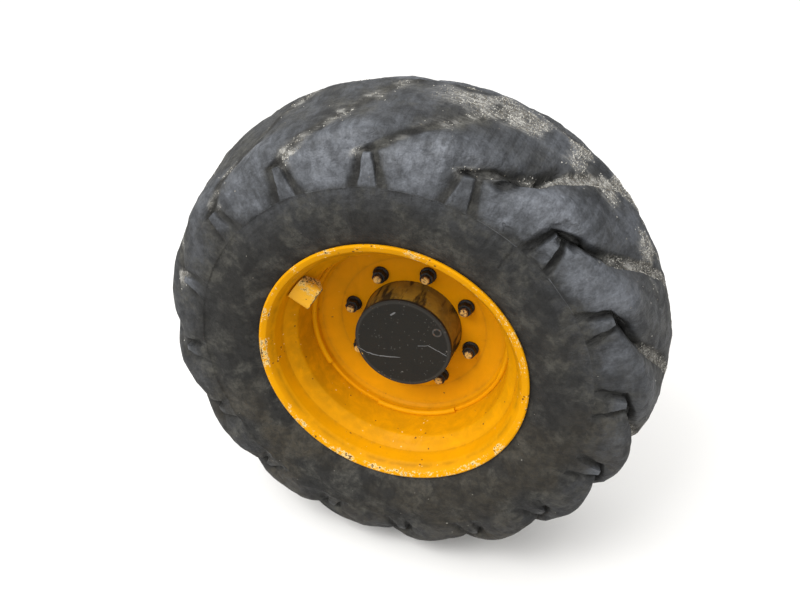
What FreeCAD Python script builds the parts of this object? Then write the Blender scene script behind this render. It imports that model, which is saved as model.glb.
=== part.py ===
"""Wheel end of a site machine: tyre, dished wheel, planetary hub and the axle arm that carries it.

The row frame is in millimetres. The wheel turns about the Y axis, its outer face looks along -Y and
+Z is up. The origin is the centre of the arm's flange face, where the arm bolts to the axle's middle.
"out" is the distance outboard of that face, so y = -out. Angles run from +X towards +Z.
"""
import FreeCAD, Part
import math
import os

os.makedirs("parts", exist_ok=True)

# General fits
SEAT_GAP = 0.25          # between curved faces that are pressed or welded together
RUNNING_GAP = 0.05       # radial, between a journal and its bearing
TURN_GAP = 6.0           # between the turning hub and what stands still beside it

# Wheel: where it stands and how wide the rim is
WHEEL_OUT = 300.0        # flange face to the wheel's centre plane
RIM_SIDE = 180.0         # centre plane to the lip's outer edge
PLATE = 7.0              # rim plate
SEAT_R = 249.5           # inside of the bead seat
SEAT_IN = 50.0           # lip's outer edge to the seat's end
LIP_HIGH = 31.5          # lip's edge above the seat
LIP_FOOT_HIGH = 16.5
LIP_FOOT_IN = 3.5        # how far the lip's foot is set in from its edge
RIDGE_HIGH = 5.0
RIDGE_IN = 22.0
SLOPE_DROP = 22.0        # end of the steep slope below the seat
SLOPE_IN = 77.0
WELL_DROP = 27.5         # well below the seat
WELL_IN = 135.0

# Tyre
CROWN_R = 536.0
TYRE_SIDE = 201.0        # centre plane to the widest part of the side
HEEL = 4.5               # how far the tyre's heel stands over the lip
LUG_COUNT = 16           # on each side
LUG_STRIPS = 3           # flat strips that each lug's share of the tyre is made of
LUG_PHASE = 107.9        # angle of the first outboard lug
SHOULDER_DROP = 36.0     # shoulder below the crown
SHOULDER_SIDE = 150.0
LUG_HIGH = 102.0         # from the lugs' feet on the side to the shoulder
GAP_FOOT = 80.0          # width of the gap between two lugs at their feet
GAP_END = 25.0           # and where it closes
GAP_END_DROP = 36.0      # how far below the shoulder that is
GAP_STEP = 2.5           # depth of the gap at the lugs' feet
GAP_FALL = 24.0          # how much its floor sinks from there to its end
WEDGE_FOOT = 35.0        # small tapered block in the middle of the gap
WEDGE_TIP = 14.0
WEDGE_SHORT = 5.0        # from its tip to the gap's end
CROWN_GROOVE = 20.0      # width of the worn groove that runs on from the gap over the crown
CROWN_GROOVE_LEAN = 50.0 # degrees from the axle's direction
SHOULDER_DEPTH = 15.0    # its depth over the shoulder
CROWN_DEPTH = 8.0        # and near its end
CROWN_GROOVE_END = 32.0  # distance from the centre plane at which it ends
CASING = 24.0            # rubber between the shoulder and the inside
FLANK = 18.0             # thickness of the side at the lugs' feet
CROWN = 36.0             # thickness of the crown in the middle

# Disc
BOLT_COUNT = 8
BOLT_PCD = 275.0
BOLT_PHASE = 168.33      # angle of the first bolt
BOLT_R = 9.0
DISC_BORE_R = 110.5
DISC = 15.0              # thickness
DISC_FACE_IN = 178.8     # lip's outer edge to the disc's bolting face
DISC_FLAT_R = 165.0
SKIRT = 7.5              # thickness of the skirt
SKIRT_BEND_IN = 167.0    # lip's outer edge to the bend between cone and skirt
SKIRT_BEND = 8.0         # how far the bend reaches each way
SKIRT_END_IN = 146.0
WELD = 8.0               # leg of the weld bead between skirt and rim
# Weld stitches: start angle, end angle
WELD_STITCHES = ((163.0, 215.5), (254.0, 305.0), (343.0, 395.0), (74.0, 126.0))

# Wheel nuts and studs
NUT_FLATS = 27.0
NUT_COLLAR_R = 18.0
NUT_TOP_IN = 158.0
NUT_COLLAR = 6.0
STUD_END_IN = 144.3
STUD_TIP_R = 7.0
STUD_EDGE = 2.0          # length of the chamfer at the stud's end
STUD_HEAD_R = 14.0
STUD_HEAD = 8.0

# Hub
COVER_BASE_R = 110.0
COVER_FRONT_R = 105.5
COVER_FRONT_IN = 102.7
COVER_EDGE = 2.5
HUB_PILOT = 8.0          # how far the hub's pilot reaches through the disc
HUB_FLANGE_R = 163.0
HUB_FLANGE = 22.0
DRUM_R = 122.0
DRUM_LONG = 96.0         # from the flange's back to the step
DRUM_EDGE = 8.0          # chamfer at the step
DRUM_STEP = 6.0          # the step's slant
DRUM_TAIL_R = 100.0
DRUM_TAIL = 26.0
JOURNAL_R = 70.0
JOURNAL_LONG = 62.0
JOURNAL_END = 4.0        # room between the journal's end and the hub
JOURNAL_FILLET = 4.0     # slant at the journal's root
PLUG_R = 11.0
PLUG_AT_R = 86.0
PLUG_ANGLE = 33.0
PLUG_SUNK = 0.5          # plug's face below the cover's
PLUG_LONG = 6.0
PLUG_SOCKET = 4.5
PLUG_HEX = 10.0

# Valve and its guard
VALVE_ANGLE = 148.0
GUARD_WIDE = 58.0
GUARD_PLATE = 4.0
GUARD_BEND_R = 11.0
GUARD_TOP_IN = 27.0      # lip's outer edge to the guard's top, where it meets the rim
GUARD_LEAN = 7.0         # lean of the top towards the disc, degrees
GUARD_LONG = 50.5        # from the seat to the guard's open end
GUARD_END_DEEP = 12.0    # height of that end
GUARD_DEEP_DROP = 31.5   # place below the seat where its flanks reach deepest
GUARD_DEEP_IN = 67.0
VALVE_FOOT_DROP = 12.5   # valve's foot below the seat
STEM_BEHIND = 4.0        # how far the rubber foot stands out behind the rim
STEM_R = 4.0
STEM_LONG = 30.0
STEM_BASE_R = 8.5
STEM_BASE = 12.0
VALVE_CAP_R = 5.5
VALVE_CAP = 17.0
VALVE_NECK = 3.0         # bare stem between the rubber foot and the cap

# Axle arm and spindle
ARM_FLANGE_R = 125.0
ARM_FLANGE = 20.0
ARM_BOLT_EDGE = 17.0     # from the flange's edge to the bolts' circle
ARM_BOLTS = 10
ARM_HOLE_R = 7.0
PILOT_R = 78.0
PILOT_LONG = 6.0
ARM_ROOT_R = 90.0
ARM_END_R = 84.0
ARM_TAPER = 24.0
ARM_BORE_R = 46.0
SPINDLE_FLANGE_R = 118.0
SPINDLE_FLANGE = 16.0
SPINDLE_BOLT_EDGE = 15.0 # the same on the spindle's flange
SPINDLE_BOLTS = 10
SPINDLE_BOLT_R = 6.0
SPINDLE_BOLT_FLATS = 19.0
SPINDLE_BOLT_HEAD = 8.0
SPINDLE_BORE_R = 33.0

# Half shaft and its seal
SHAFT_R = 24.0
SHAFT_STICKS_OUT = 58.0
SPLINE_R = 22.0
SPLINE_ROOT_R = 19.5
SPLINE_LONG = 44.0
SPLINE_TEETH = 18
SHAFT_SHORT = 6.0        # how far the shaft ends inside the journal's end
SEAL_LONG = 14.0
SEAL_SUNK = 1.0          # below the pilot's end


LIP_OUT = WHEEL_OUT + RIM_SIDE
DISC_FACE = LIP_OUT - DISC_FACE_IN
DISC_BACK = DISC_FACE - DISC
HUB_BACK = DISC_BACK - HUB_FLANGE
DRUM_END = HUB_BACK - DRUM_LONG
TAIL_END = DRUM_END - DRUM_TAIL
SPINDLE_FACE = TAIL_END - TURN_GAP
ARM_END = SPINDLE_FACE - SPINDLE_FLANGE

LIP_R = SEAT_R + LIP_HIGH
LIP_FOOT_R = SEAT_R + LIP_FOOT_HIGH
RIDGE_R = SEAT_R + RIDGE_HIGH
SLOPE_R = SEAT_R - SLOPE_DROP
WELL_R = SEAT_R - WELL_DROP
VALVE_FOOT_R = SEAT_R - VALVE_FOOT_DROP
GUARD_END_R = SEAT_R - GUARD_LONG
GUARD_DEEP_R = SEAT_R - GUARD_DEEP_DROP
SHOULDER_R = CROWN_R - SHOULDER_DROP
LUG_FOOT_R = SHOULDER_R - LUG_HIGH
GAP_END_R = SHOULDER_R - GAP_END_DROP
ARM_PCD = 2 * (ARM_FLANGE_R - ARM_BOLT_EDGE)
SPINDLE_PCD = 2 * (SPINDLE_FLANGE_R - SPINDLE_BOLT_EDGE)


def at(radius, out):
    """Point of a turned outline."""
    return FreeCAD.Vector(radius, -out, 0)


def polar(radius, angle, out):
    """Point at an angle round the wheel's axis."""
    turn = math.radians(angle)
    return FreeCAD.Vector(radius * math.cos(turn), -out, radius * math.sin(turn))


def between(first, last, share):
    """Size at a share of the way from one size to another."""
    return first + (last - first) * share


def turned(start, *steps, angle=360.0):
    """Solid of revolution about the wheel's axis.

    The outline is a row of points (radius, out), and closes on its start.
    """
    outline = [at(*point) for point in (start, *steps, start)]
    face = Part.Face(Part.makePolygon(outline))
    return face.revolve(FreeCAD.Vector(), FreeCAD.Vector(0, 1, 0), angle)


def strip_ring(outline, count):
    """Ring of flat strips: the outline carried round the axle in short straight steps."""
    rings = [[polar(radius, angle, out) for angle in ring_angles(count, 0.0)] for radius, out in outline]
    faces = []
    for ring, following in zip(rings, rings[1:] + rings[:1]):
        for k in range(count):
            corners = (ring[k - 1], ring[k], following[k], following[k - 1], ring[k - 1])
            faces.append(Part.Face(Part.makePolygon(corners)))
    shell = Part.makeShell(faces)
    shell.sewShape()
    solid = Part.makeSolid(shell)
    if solid.Volume < 0:
        solid.reverse()
    return solid


def round_flats(points, count):
    """The points moved out so that the middles of a strip ring's flats, not its corners, lie on them."""
    return [(radius / math.cos(math.pi / count), side) for radius, side in points]


def turn_to(shape, angle):
    """The shape turned about the wheel's axis, from +X towards +Z."""
    copy = shape.copy()
    copy.rotate(FreeCAD.Vector(), FreeCAD.Vector(0, 1, 0), -angle)
    return copy


def peg(radius, low, high, at_radius=0.0, angle=0.0):
    """Round bar along the axle's direction, from out=low to out=high."""
    return Part.makeCylinder(radius, high - low, polar(at_radius, angle, low), FreeCAD.Vector(0, -1, 0))


def hexagon(flats, low, high, at_radius=0.0, angle=0.0):
    """Six-sided bar along the axle's direction."""
    centre = polar(at_radius, angle, low)
    corner = flats / math.sqrt(3)
    points = []
    for k in range(7):
        turn = math.radians(60 * k)
        points.append(centre + FreeCAD.Vector(corner * math.cos(turn), 0, corner * math.sin(turn)))
    return Part.Face(Part.makePolygon(points)).extrude(FreeCAD.Vector(0, low - high, 0))


def ring_angles(count, phase):
    """Even angles round the axle."""
    return [phase + 360.0 * k / count for k in range(count)]


def mirrored(points):
    """An outline's points given outboard of the centre plane, followed by their mirror images."""
    return points + [(radius, -side) for radius, side in reversed(points)]


def about_wheel(points):
    """Points given as (radius, distance from the centre plane), as (radius, out)."""
    return [(radius, WHEEL_OUT + side) for radius, side in points]


def rim_inside():
    """The rim's visible surface, from the lip to the middle of the well."""
    return [
        (LIP_R, RIM_SIDE),
        (LIP_FOOT_R, RIM_SIDE - LIP_FOOT_IN),
        (RIDGE_R, RIM_SIDE - RIDGE_IN),
        (SEAT_R, RIM_SIDE - SEAT_IN),
        (SLOPE_R, RIM_SIDE - SLOPE_IN),
        (WELL_R, RIM_SIDE - WELL_IN),
    ]


def rim_outside():
    """The side of the rim that the tyre sits on, one plate further out."""
    return [
        (LIP_R, RIM_SIDE - PLATE),
        (LIP_FOOT_R + PLATE / 2, RIM_SIDE - LIP_FOOT_IN - PLATE),
        (RIDGE_R + PLATE, RIM_SIDE - RIDGE_IN),
        (SEAT_R + PLATE, RIM_SIDE - SEAT_IN),
        (SLOPE_R + PLATE, RIM_SIDE - SLOPE_IN),
        (WELL_R + PLATE, RIM_SIDE - WELL_IN - PLATE / 2),
    ]


def rim_solid():
    inside = about_wheel(mirrored(rim_inside()))
    outside = about_wheel(mirrored(rim_outside()))
    return turned(inside[0], *inside[1:], *reversed(outside))


def rim_barrel():
    """Drop-centre rim: two lips, bead seats, slopes and the well, with the valve's hole."""
    return rim_solid().cut(valve_stem(SEAT_GAP))


def envelope():
    """Outer surface of the tyre, over the lugs."""
    return [
        (LIP_R + HEEL, RIM_SIDE - HEEL),
        (between(LIP_R, LUG_FOOT_R, 0.31), between(RIM_SIDE, TYRE_SIDE, 0.52)),
        (LUG_FOOT_R, TYRE_SIDE),
        (between(LUG_FOOT_R, SHOULDER_R, 0.41), between(TYRE_SIDE, SHOULDER_SIDE, 0.10)),
        (between(LUG_FOOT_R, SHOULDER_R, 0.80), between(TYRE_SIDE, SHOULDER_SIDE, 0.41)),
        (SHOULDER_R, SHOULDER_SIDE),
        (between(SHOULDER_R, CROWN_R, 0.42), 0.64 * SHOULDER_SIDE),
        (between(SHOULDER_R, CROWN_R, 0.84), 0.28 * SHOULDER_SIDE),
        (CROWN_R, 0.0),
    ]


def bead():
    """Where the tyre sits against the rim, a seat gap off it."""
    seat_in, lip_back = rim_outside()[3], rim_outside()[0]
    ridge = rim_outside()[2]
    return [
        (lip_back[0], lip_back[1] - SEAT_GAP),
        (LIP_FOOT_R + PLATE / 2 + SEAT_GAP, RIM_SIDE - LIP_FOOT_IN - PLATE - SEAT_GAP),
        (ridge[0] + SEAT_GAP, ridge[1]),
        (seat_in[0] + SEAT_GAP, seat_in[1]),
    ]


def cavity():
    """Inside of the casing, down to below the bead seats."""
    return [
        (SEAT_R - PLATE, RIM_SIDE - SEAT_IN),
        (SEAT_R + PLATE + SEAT_GAP, RIM_SIDE - SEAT_IN),
        (LUG_FOOT_R, TYRE_SIDE - FLANK),
        (SHOULDER_R - CASING, SHOULDER_SIDE - CASING / 2),
        (CROWN_R - CROWN, CROWN_GROOVE_END),
    ]


def upright(points, way):
    """Prism with a flat foot through the points, which are (radius, side, distance across), at angle zero."""
    corners = [FreeCAD.Vector(radius, -WHEEL_OUT - side, -across) for radius, side, across in points]
    return Part.Face(Part.makePolygon(corners + corners[:1])).extrude(way)


def gap_floor(radius):
    """Distance from the centre plane to the floor of the gap between two lugs, which sinks outward."""
    return TYRE_SIDE - GAP_STEP - GAP_FALL * (radius - LUG_FOOT_R) / (GAP_END_R - LUG_FOOT_R)


def side_gap():
    """Space between the feet of two lugs, round a tapered wedge."""
    tip_r = GAP_END_R - WEDGE_SHORT
    right = [(LUG_FOOT_R, GAP_FOOT / 2), (LUG_FOOT_R, WEDGE_FOOT / 2), (tip_r, WEDGE_TIP / 2)]
    left = [(radius, -across) for radius, across in reversed(right)]
    outline = [*right, *left, (GAP_END_R, -GAP_END / 2), (GAP_END_R, GAP_END / 2)]
    floor = [(radius, gap_floor(radius), across) for radius, across in outline]
    return upright(floor, FreeCAD.Vector(0, -TYRE_SIDE, 0))


def crown_groove(start, end):
    """Leaning groove between two points (radius, side) of its floor."""
    lean = math.tan(math.radians(CROWN_GROOVE_LEAN))
    half = CROWN_GROOVE / 2 / math.cos(math.radians(CROWN_GROOVE_LEAN))
    first = gap_floor(GAP_END_R)
    floor = [(radius, side, turn * half - (first - side) * lean)
             for (radius, side), turn in ((start, -1), (start, 1), (end, 1), (end, -1))]
    return upright(floor, FreeCAD.Vector(CROWN_R, 0, 0))


def grooves(shape_at_zero, phase):
    """One copy of the cutter in each gap between lugs."""
    return [turn_to(shape_at_zero, angle) for angle in ring_angles(LUG_COUNT, phase)]


def tyre():
    """Worn lug tyre: casing, lugs with a wedge between the feet of each two, and worn crown grooves."""
    count = LUG_COUNT * LUG_STRIPS
    seat = round_flats(bead(), count)
    far_seat = [(radius, -side) for radius, side in seat]
    outer = mirrored(envelope()[:-1])
    middle = len(outer) // 2
    outer.insert(middle, envelope()[-1])
    body = strip_ring(about_wheel([*outer, *far_seat, *reversed(seat)]), count)
    hollow = strip_ring(about_wheel(mirrored(round_flats(cavity(), count // 2))), count // 2)

    shoulder = (SHOULDER_R - SHOULDER_DEPTH, SHOULDER_SIDE)
    tip_r = GAP_END_R - WEDGE_SHORT
    gap = side_gap().fuse([
        crown_groove((tip_r, gap_floor(tip_r)), shoulder),
        crown_groove(shoulder, (CROWN_R - CROWN_DEPTH, CROWN_GROOVE_END)),
    ])
    gap = gap.removeSplitter()
    far_gap = gap.mirror(FreeCAD.Vector(0, -WHEEL_OUT, 0), FreeCAD.Vector(0, 1, 0))
    cutters = grooves(gap, LUG_PHASE + 180.0 / LUG_COUNT) + grooves(far_gap, LUG_PHASE)
    return body.cut([hollow, *cutters])


def wheel_disc():
    """Dished centre plate: flat bolting face, shallow cone, and a skirt turned outboard."""
    skirt_r = WELL_R - SEAT_GAP
    bend = LIP_OUT - SKIRT_BEND_IN
    end = LIP_OUT - SKIRT_END_IN
    inner_r = skirt_r - SKIRT
    back_bend = DISC - SKIRT + SKIRT_BEND / 2
    plate = turned(
        (DISC_BORE_R, DISC_BACK),
        (DISC_BORE_R, DISC_FACE),
        (DISC_FLAT_R, DISC_FACE),
        (inner_r - SKIRT_BEND, bend),
        (inner_r, bend + SKIRT_BEND),
        (inner_r, end),
        (skirt_r, end),
        (skirt_r, bend - SKIRT_BEND / 2),
        (skirt_r - back_bend, bend - DISC),
        (DISC_FLAT_R, DISC_BACK),
    )
    holes = [peg(BOLT_R + SEAT_GAP, DISC_BACK - 1, DISC_FACE + 1, BOLT_PCD / 2, angle)
             for angle in ring_angles(BOLT_COUNT, BOLT_PHASE)]
    return plate.cut(Part.Compound(holes))


def disc_weld():
    """Stitches of weld bead in the corner between the skirt's end and the rim."""
    end = LIP_OUT - SKIRT_END_IN
    outer = WELL_R - SEAT_GAP
    stitches = []
    for start, stop in WELD_STITCHES:
        bead_piece = turned((outer - WELD, end), (outer, end), (outer, end + WELD), angle=start - stop)
        stitches.append(turn_to(bead_piece, start))
    return Part.Compound(stitches)


def wheel_studs():
    """Studs pressed into the hub flange from behind, with chamfered ends."""
    studs = []
    tip = LIP_OUT - STUD_END_IN
    for angle in ring_angles(BOLT_COUNT, BOLT_PHASE):
        shank = peg(BOLT_R, HUB_BACK, tip - STUD_EDGE, BOLT_PCD / 2, angle)
        end = Part.makeCone(BOLT_R, STUD_TIP_R, STUD_EDGE, polar(BOLT_PCD / 2, angle, tip - STUD_EDGE),
                            FreeCAD.Vector(0, -1, 0))
        head = peg(STUD_HEAD_R, HUB_BACK - STUD_HEAD, HUB_BACK, BOLT_PCD / 2, angle)
        studs.append(shank.fuse([end, head]).removeSplitter())
    return Part.Compound(studs)


def wheel_nuts():
    """Hexagon nuts with a round collar that sits on the disc."""
    nuts = []
    top = LIP_OUT - NUT_TOP_IN
    for angle in ring_angles(BOLT_COUNT, BOLT_PHASE):
        nut = hexagon(NUT_FLATS, DISC_FACE, top, BOLT_PCD / 2, angle)
        collar = peg(NUT_COLLAR_R, DISC_FACE, DISC_FACE + NUT_COLLAR, BOLT_PCD / 2, angle)
        hole = peg(BOLT_R + SEAT_GAP, DISC_FACE - 1, top + 1, BOLT_PCD / 2, angle)
        nuts.append(nut.fuse(collar).cut(hole).removeSplitter())
    return Part.Compound(nuts)


def hub_drum():
    """Planetary hub housing: bolting flange, pilot through the disc, gear drum and seal end."""
    pilot_r = DISC_BORE_R - SEAT_GAP
    journal = JOURNAL_R + RUNNING_GAP
    room = TAIL_END + JOURNAL_LONG + JOURNAL_END
    body = turned(
        (0.0, room),
        (0.0, DISC_BACK + HUB_PILOT),
        (pilot_r, DISC_BACK + HUB_PILOT),
        (pilot_r, DISC_BACK),
        (HUB_FLANGE_R, DISC_BACK),
        (HUB_FLANGE_R, HUB_BACK),
        (DRUM_R, HUB_BACK),
        (DRUM_R, DRUM_END + DRUM_EDGE),
        (DRUM_R - DRUM_EDGE, DRUM_END),
        (DRUM_TAIL_R, DRUM_END - DRUM_STEP),
        (DRUM_TAIL_R, TAIL_END),
        (journal, TAIL_END),
        (journal, room),
    )
    holes = []
    for angle in ring_angles(BOLT_COUNT, BOLT_PHASE):
        holes.append(peg(BOLT_R + SEAT_GAP, HUB_BACK - 1, DISC_BACK + 1, BOLT_PCD / 2, angle))
    return body.cut(Part.Compound(holes))


def hub_cover():
    """Black end cover of the hub: a slightly tapered drum with a flat front."""
    foot = DISC_BACK + HUB_PILOT
    front = LIP_OUT - COVER_FRONT_IN
    body = turned(
        (0.0, foot),
        (COVER_BASE_R, foot),
        (COVER_FRONT_R, front - COVER_EDGE),
        (COVER_FRONT_R - COVER_EDGE, front),
        (0.0, front),
    )
    return body.cut(peg(PLUG_R + SEAT_GAP, front - PLUG_LONG, front + 1.0, PLUG_AT_R, PLUG_ANGLE))


def level_plug():
    """Oil level plug with a hexagon socket, sunk in the cover's front."""
    front = LIP_OUT - COVER_FRONT_IN
    body = peg(PLUG_R, front - PLUG_LONG, front - PLUG_SUNK, PLUG_AT_R, PLUG_ANGLE)
    return body.cut(hexagon(PLUG_HEX, front - PLUG_SOCKET, front, PLUG_AT_R, PLUG_ANGLE))


def valve_axis():
    """Foot of the valve on the rim's slope and the direction in which it stands, at angle zero."""
    across = math.atan2(SEAT_R - SLOPE_R, SLOPE_IN - SEAT_IN)
    share = (VALVE_FOOT_R - SLOPE_R) / (SEAT_R - SLOPE_R)
    foot_in = SLOPE_IN - share * (SLOPE_IN - SEAT_IN)
    foot = at(VALVE_FOOT_R, LIP_OUT - foot_in)
    way = FreeCAD.Vector(-math.cos(across), -math.sin(across), 0)
    return foot, way


def valve_stem(grow=0.0):
    """Rubber foot through the rim and the brass stem on it."""
    foot, way = valve_axis()
    through = PLATE + STEM_BEHIND
    base = Part.makeCylinder(STEM_BASE_R + grow, through + STEM_BASE, foot - way * through, way)
    if grow:
        return turn_to(base, VALVE_ANGLE)
    stem = Part.makeCylinder(STEM_R, STEM_LONG - STEM_BASE, foot + way * STEM_BASE, way)
    return turn_to(base.fuse(stem).removeSplitter(), VALVE_ANGLE)


def valve_cap():
    """Dust cap on the stem's end."""
    foot, way = valve_axis()
    start = foot + way * (STEM_BASE + VALVE_NECK)
    outer = Part.makeCylinder(VALVE_CAP_R, VALVE_CAP, start, way)
    inner = Part.makeCylinder(STEM_R + SEAT_GAP, STEM_LONG - STEM_BASE - VALVE_NECK + SEAT_GAP, start, way)
    return turn_to(outer.cut(inner), VALVE_ANGLE)


def channel(inset, bend):
    """Leaning bar with a channel's outer outline, set in by a plate's thickness or none."""
    half = GUARD_WIDE / 2 - inset
    top = -inset
    rise = bend * (1 - math.sqrt(0.5))
    place = [(-half, -WELL_IN), (-half, top - bend), (-half + rise, top - rise), (-half + bend, top),
             (half - bend, top), (half - rise, top - rise), (half, top - bend), (half, -WELL_IN)]
    left, spring, mid, flat, far_flat, far_mid, far_spring, right = (at(0.0, out) + FreeCAD.Vector(0, 0, across)
                                                                     for across, out in place)
    edges = [
        Part.makeLine(left, spring),
        Part.Arc(spring, mid, flat).toShape(),
        Part.makeLine(flat, far_flat),
        Part.Arc(far_flat, far_mid, far_spring).toShape(),
        Part.makeLine(far_spring, right),
        Part.makeLine(right, left),
    ]
    bar = Part.Face(Part.Wire(edges)).extrude(FreeCAD.Vector(2 * (GUARD_END_R - SEAT_R), 0, 0))
    bar.rotate(FreeCAD.Vector(), FreeCAD.Vector(0, 0, 1), -GUARD_LEAN)
    bar.translate(at(SEAT_R + PLATE, LIP_OUT - GUARD_TOP_IN))
    return bar


def valve_guard():
    """Bent hood over the valve, welded by its outer end to the rim's bead seat."""
    shell = channel(0.0, GUARD_BEND_R).cut(channel(GUARD_PLATE, GUARD_BEND_R - GUARD_PLATE))
    fall = math.tan(math.radians(GUARD_LEAN)) * (SEAT_R - GUARD_END_R)
    side_view = [(SEAT_R + PLATE, 0.0), (SEAT_R + PLATE, SEAT_IN - PLATE), (GUARD_DEEP_R, GUARD_DEEP_IN),
                 (GUARD_END_R, GUARD_TOP_IN + fall + GUARD_END_DEEP), (GUARD_END_R, 0.0)]
    corners = [at(radius, LIP_OUT - inset) - FreeCAD.Vector(0, 0, GUARD_WIDE) for radius, inset in side_view]
    trim = Part.Face(Part.makePolygon(corners + corners[:1])).extrude(FreeCAD.Vector(0, 0, 2 * GUARD_WIDE))
    inside_rim = peg(SEAT_R - SEAT_GAP, LIP_OUT - WELL_IN, LIP_OUT)
    return turn_to(shell.common(trim).common(inside_rim), VALVE_ANGLE)


def axle_arm():
    """Arm casing: bolting flange with its pilot, tapered tube, and the flange that the spindle bolts to."""
    body = turned(
        (ARM_BORE_R, -PILOT_LONG),
        (PILOT_R, -PILOT_LONG),
        (PILOT_R, 0.0),
        (ARM_FLANGE_R, 0.0),
        (ARM_FLANGE_R, ARM_FLANGE),
        (ARM_ROOT_R, ARM_FLANGE),
        (ARM_END_R, ARM_FLANGE + ARM_TAPER),
        (ARM_END_R, ARM_END - SPINDLE_FLANGE),
        (SPINDLE_FLANGE_R, ARM_END - SPINDLE_FLANGE),
        (SPINDLE_FLANGE_R, ARM_END),
        (ARM_BORE_R, ARM_END),
    )
    holes = [peg(ARM_HOLE_R, -1, ARM_FLANGE + 1, ARM_PCD / 2, angle) for angle in ring_angles(ARM_BOLTS, 18.0)]
    holes += [peg(SPINDLE_BOLT_R + SEAT_GAP, ARM_END - SPINDLE_FLANGE - 1, ARM_END + 1, SPINDLE_PCD / 2, angle)
              for angle in ring_angles(SPINDLE_BOLTS, 0.0)]
    return body.cut(Part.Compound(holes))


def spindle():
    """Hollow stub that the hub turns on, with its bolting flange."""
    body = turned(
        (SPINDLE_BORE_R, ARM_END),
        (SPINDLE_FLANGE_R, ARM_END),
        (SPINDLE_FLANGE_R, SPINDLE_FACE),
        (JOURNAL_R + JOURNAL_FILLET, SPINDLE_FACE),
        (JOURNAL_R, SPINDLE_FACE + JOURNAL_FILLET),
        (JOURNAL_R, TAIL_END + JOURNAL_LONG),
        (SPINDLE_BORE_R, TAIL_END + JOURNAL_LONG),
    )
    holes = [peg(SPINDLE_BOLT_R + SEAT_GAP, ARM_END - 1, SPINDLE_FACE + 1, SPINDLE_PCD / 2, angle)
             for angle in ring_angles(SPINDLE_BOLTS, 0.0)]
    return body.cut(Part.Compound(holes))


def spindle_bolts():
    """Bolts through the arm's outer flange and the spindle's flange, with nuts' heads inboard."""
    bolts = []
    low = ARM_END - SPINDLE_FLANGE
    for angle in ring_angles(SPINDLE_BOLTS, 0.0):
        head = hexagon(SPINDLE_BOLT_FLATS, low - SPINDLE_BOLT_HEAD, low, SPINDLE_PCD / 2, angle)
        shank = peg(SPINDLE_BOLT_R, low, SPINDLE_FACE, SPINDLE_PCD / 2, angle)
        bolts.append(head.fuse(shank).removeSplitter())
    return Part.Compound(bolts)


def shaft_seal():
    """Oil seal in the arm's mouth, which the half shaft runs in."""
    return turned(
        (SHAFT_R + RUNNING_GAP, SEAL_SUNK - PILOT_LONG),
        (ARM_BORE_R - SEAT_GAP, SEAL_SUNK - PILOT_LONG),
        (ARM_BORE_R - SEAT_GAP, SEAL_LONG),
        (SHAFT_R + RUNNING_GAP, SEAL_LONG),
    )


def half_shaft():
    """Drive shaft through the arm, with its splined end outside the flange."""
    bar = turned(
        (0.0, SPLINE_LONG - SHAFT_STICKS_OUT),
        (SHAFT_R, SPLINE_LONG - SHAFT_STICKS_OUT),
        (SHAFT_R, TAIL_END + JOURNAL_LONG - SHAFT_SHORT),
        (0.0, TAIL_END + JOURNAL_LONG - SHAFT_SHORT),
    )
    spline = peg(SPLINE_R, -SHAFT_STICKS_OUT, SPLINE_LONG - SHAFT_STICKS_OUT)
    slot_wide = math.pi * SPLINE_ROOT_R / SPLINE_TEETH
    slots = []
    for angle in ring_angles(SPLINE_TEETH, 0.0):
        slot = Part.makeBox(10.0, SPLINE_LONG + 1.0, slot_wide,
                            FreeCAD.Vector(SPLINE_ROOT_R, SHAFT_STICKS_OUT - SPLINE_LONG, -slot_wide / 2))
        slots.append(turn_to(slot, angle))
    return bar.fuse(spline.cut(Part.Compound(slots))).removeSplitter()


PIECES = {
    "tyre": tyre,
    "rim_barrel": rim_barrel,
    "wheel_disc": wheel_disc,
    "disc_weld": disc_weld,
    "wheel_studs": wheel_studs,
    "wheel_nuts": wheel_nuts,
    "hub_drum": hub_drum,
    "hub_cover": hub_cover,
    "level_plug": level_plug,
    "valve_stem": valve_stem,
    "valve_cap": valve_cap,
    "valve_guard": valve_guard,
    "axle_arm": axle_arm,
    "spindle": spindle,
    "spindle_bolts": spindle_bolts,
    "shaft_seal": shaft_seal,
    "half_shaft": half_shaft,
}

for node, build in PIECES.items():
    build().exportStep(f"parts/{node}.step")
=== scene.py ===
"""Wheel end of a site dumper, dressed for rendering.

A worn lug tyre on a dished orange wheel, bolted to a planetary hub that turns on a flanged axle arm. The
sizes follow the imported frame, in metres. The wheel's axis is Y, its outer face looks along -Y and +Z is
up. "out" is the distance outboard of the arm's flange face, so y = -out, and angles run from +X to +Z.
"""
import logging
import math
from dataclasses import dataclass
from enum import Enum
from typing import Callable, ClassVar, Sequence

import bpy
import numpy as np
from mathutils import Matrix, Vector


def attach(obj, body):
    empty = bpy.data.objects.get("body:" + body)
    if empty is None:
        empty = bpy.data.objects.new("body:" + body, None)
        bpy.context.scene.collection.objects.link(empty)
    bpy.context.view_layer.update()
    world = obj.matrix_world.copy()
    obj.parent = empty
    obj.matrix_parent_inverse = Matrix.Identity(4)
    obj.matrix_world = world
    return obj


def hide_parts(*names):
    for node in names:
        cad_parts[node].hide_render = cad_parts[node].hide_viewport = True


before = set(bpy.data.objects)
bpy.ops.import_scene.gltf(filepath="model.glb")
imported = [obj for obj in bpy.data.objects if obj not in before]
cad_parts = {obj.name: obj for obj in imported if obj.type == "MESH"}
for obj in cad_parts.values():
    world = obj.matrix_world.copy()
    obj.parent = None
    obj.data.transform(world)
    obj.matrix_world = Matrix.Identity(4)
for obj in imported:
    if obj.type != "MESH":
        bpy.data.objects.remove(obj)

log = logging.getLogger("wheel_end")

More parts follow.
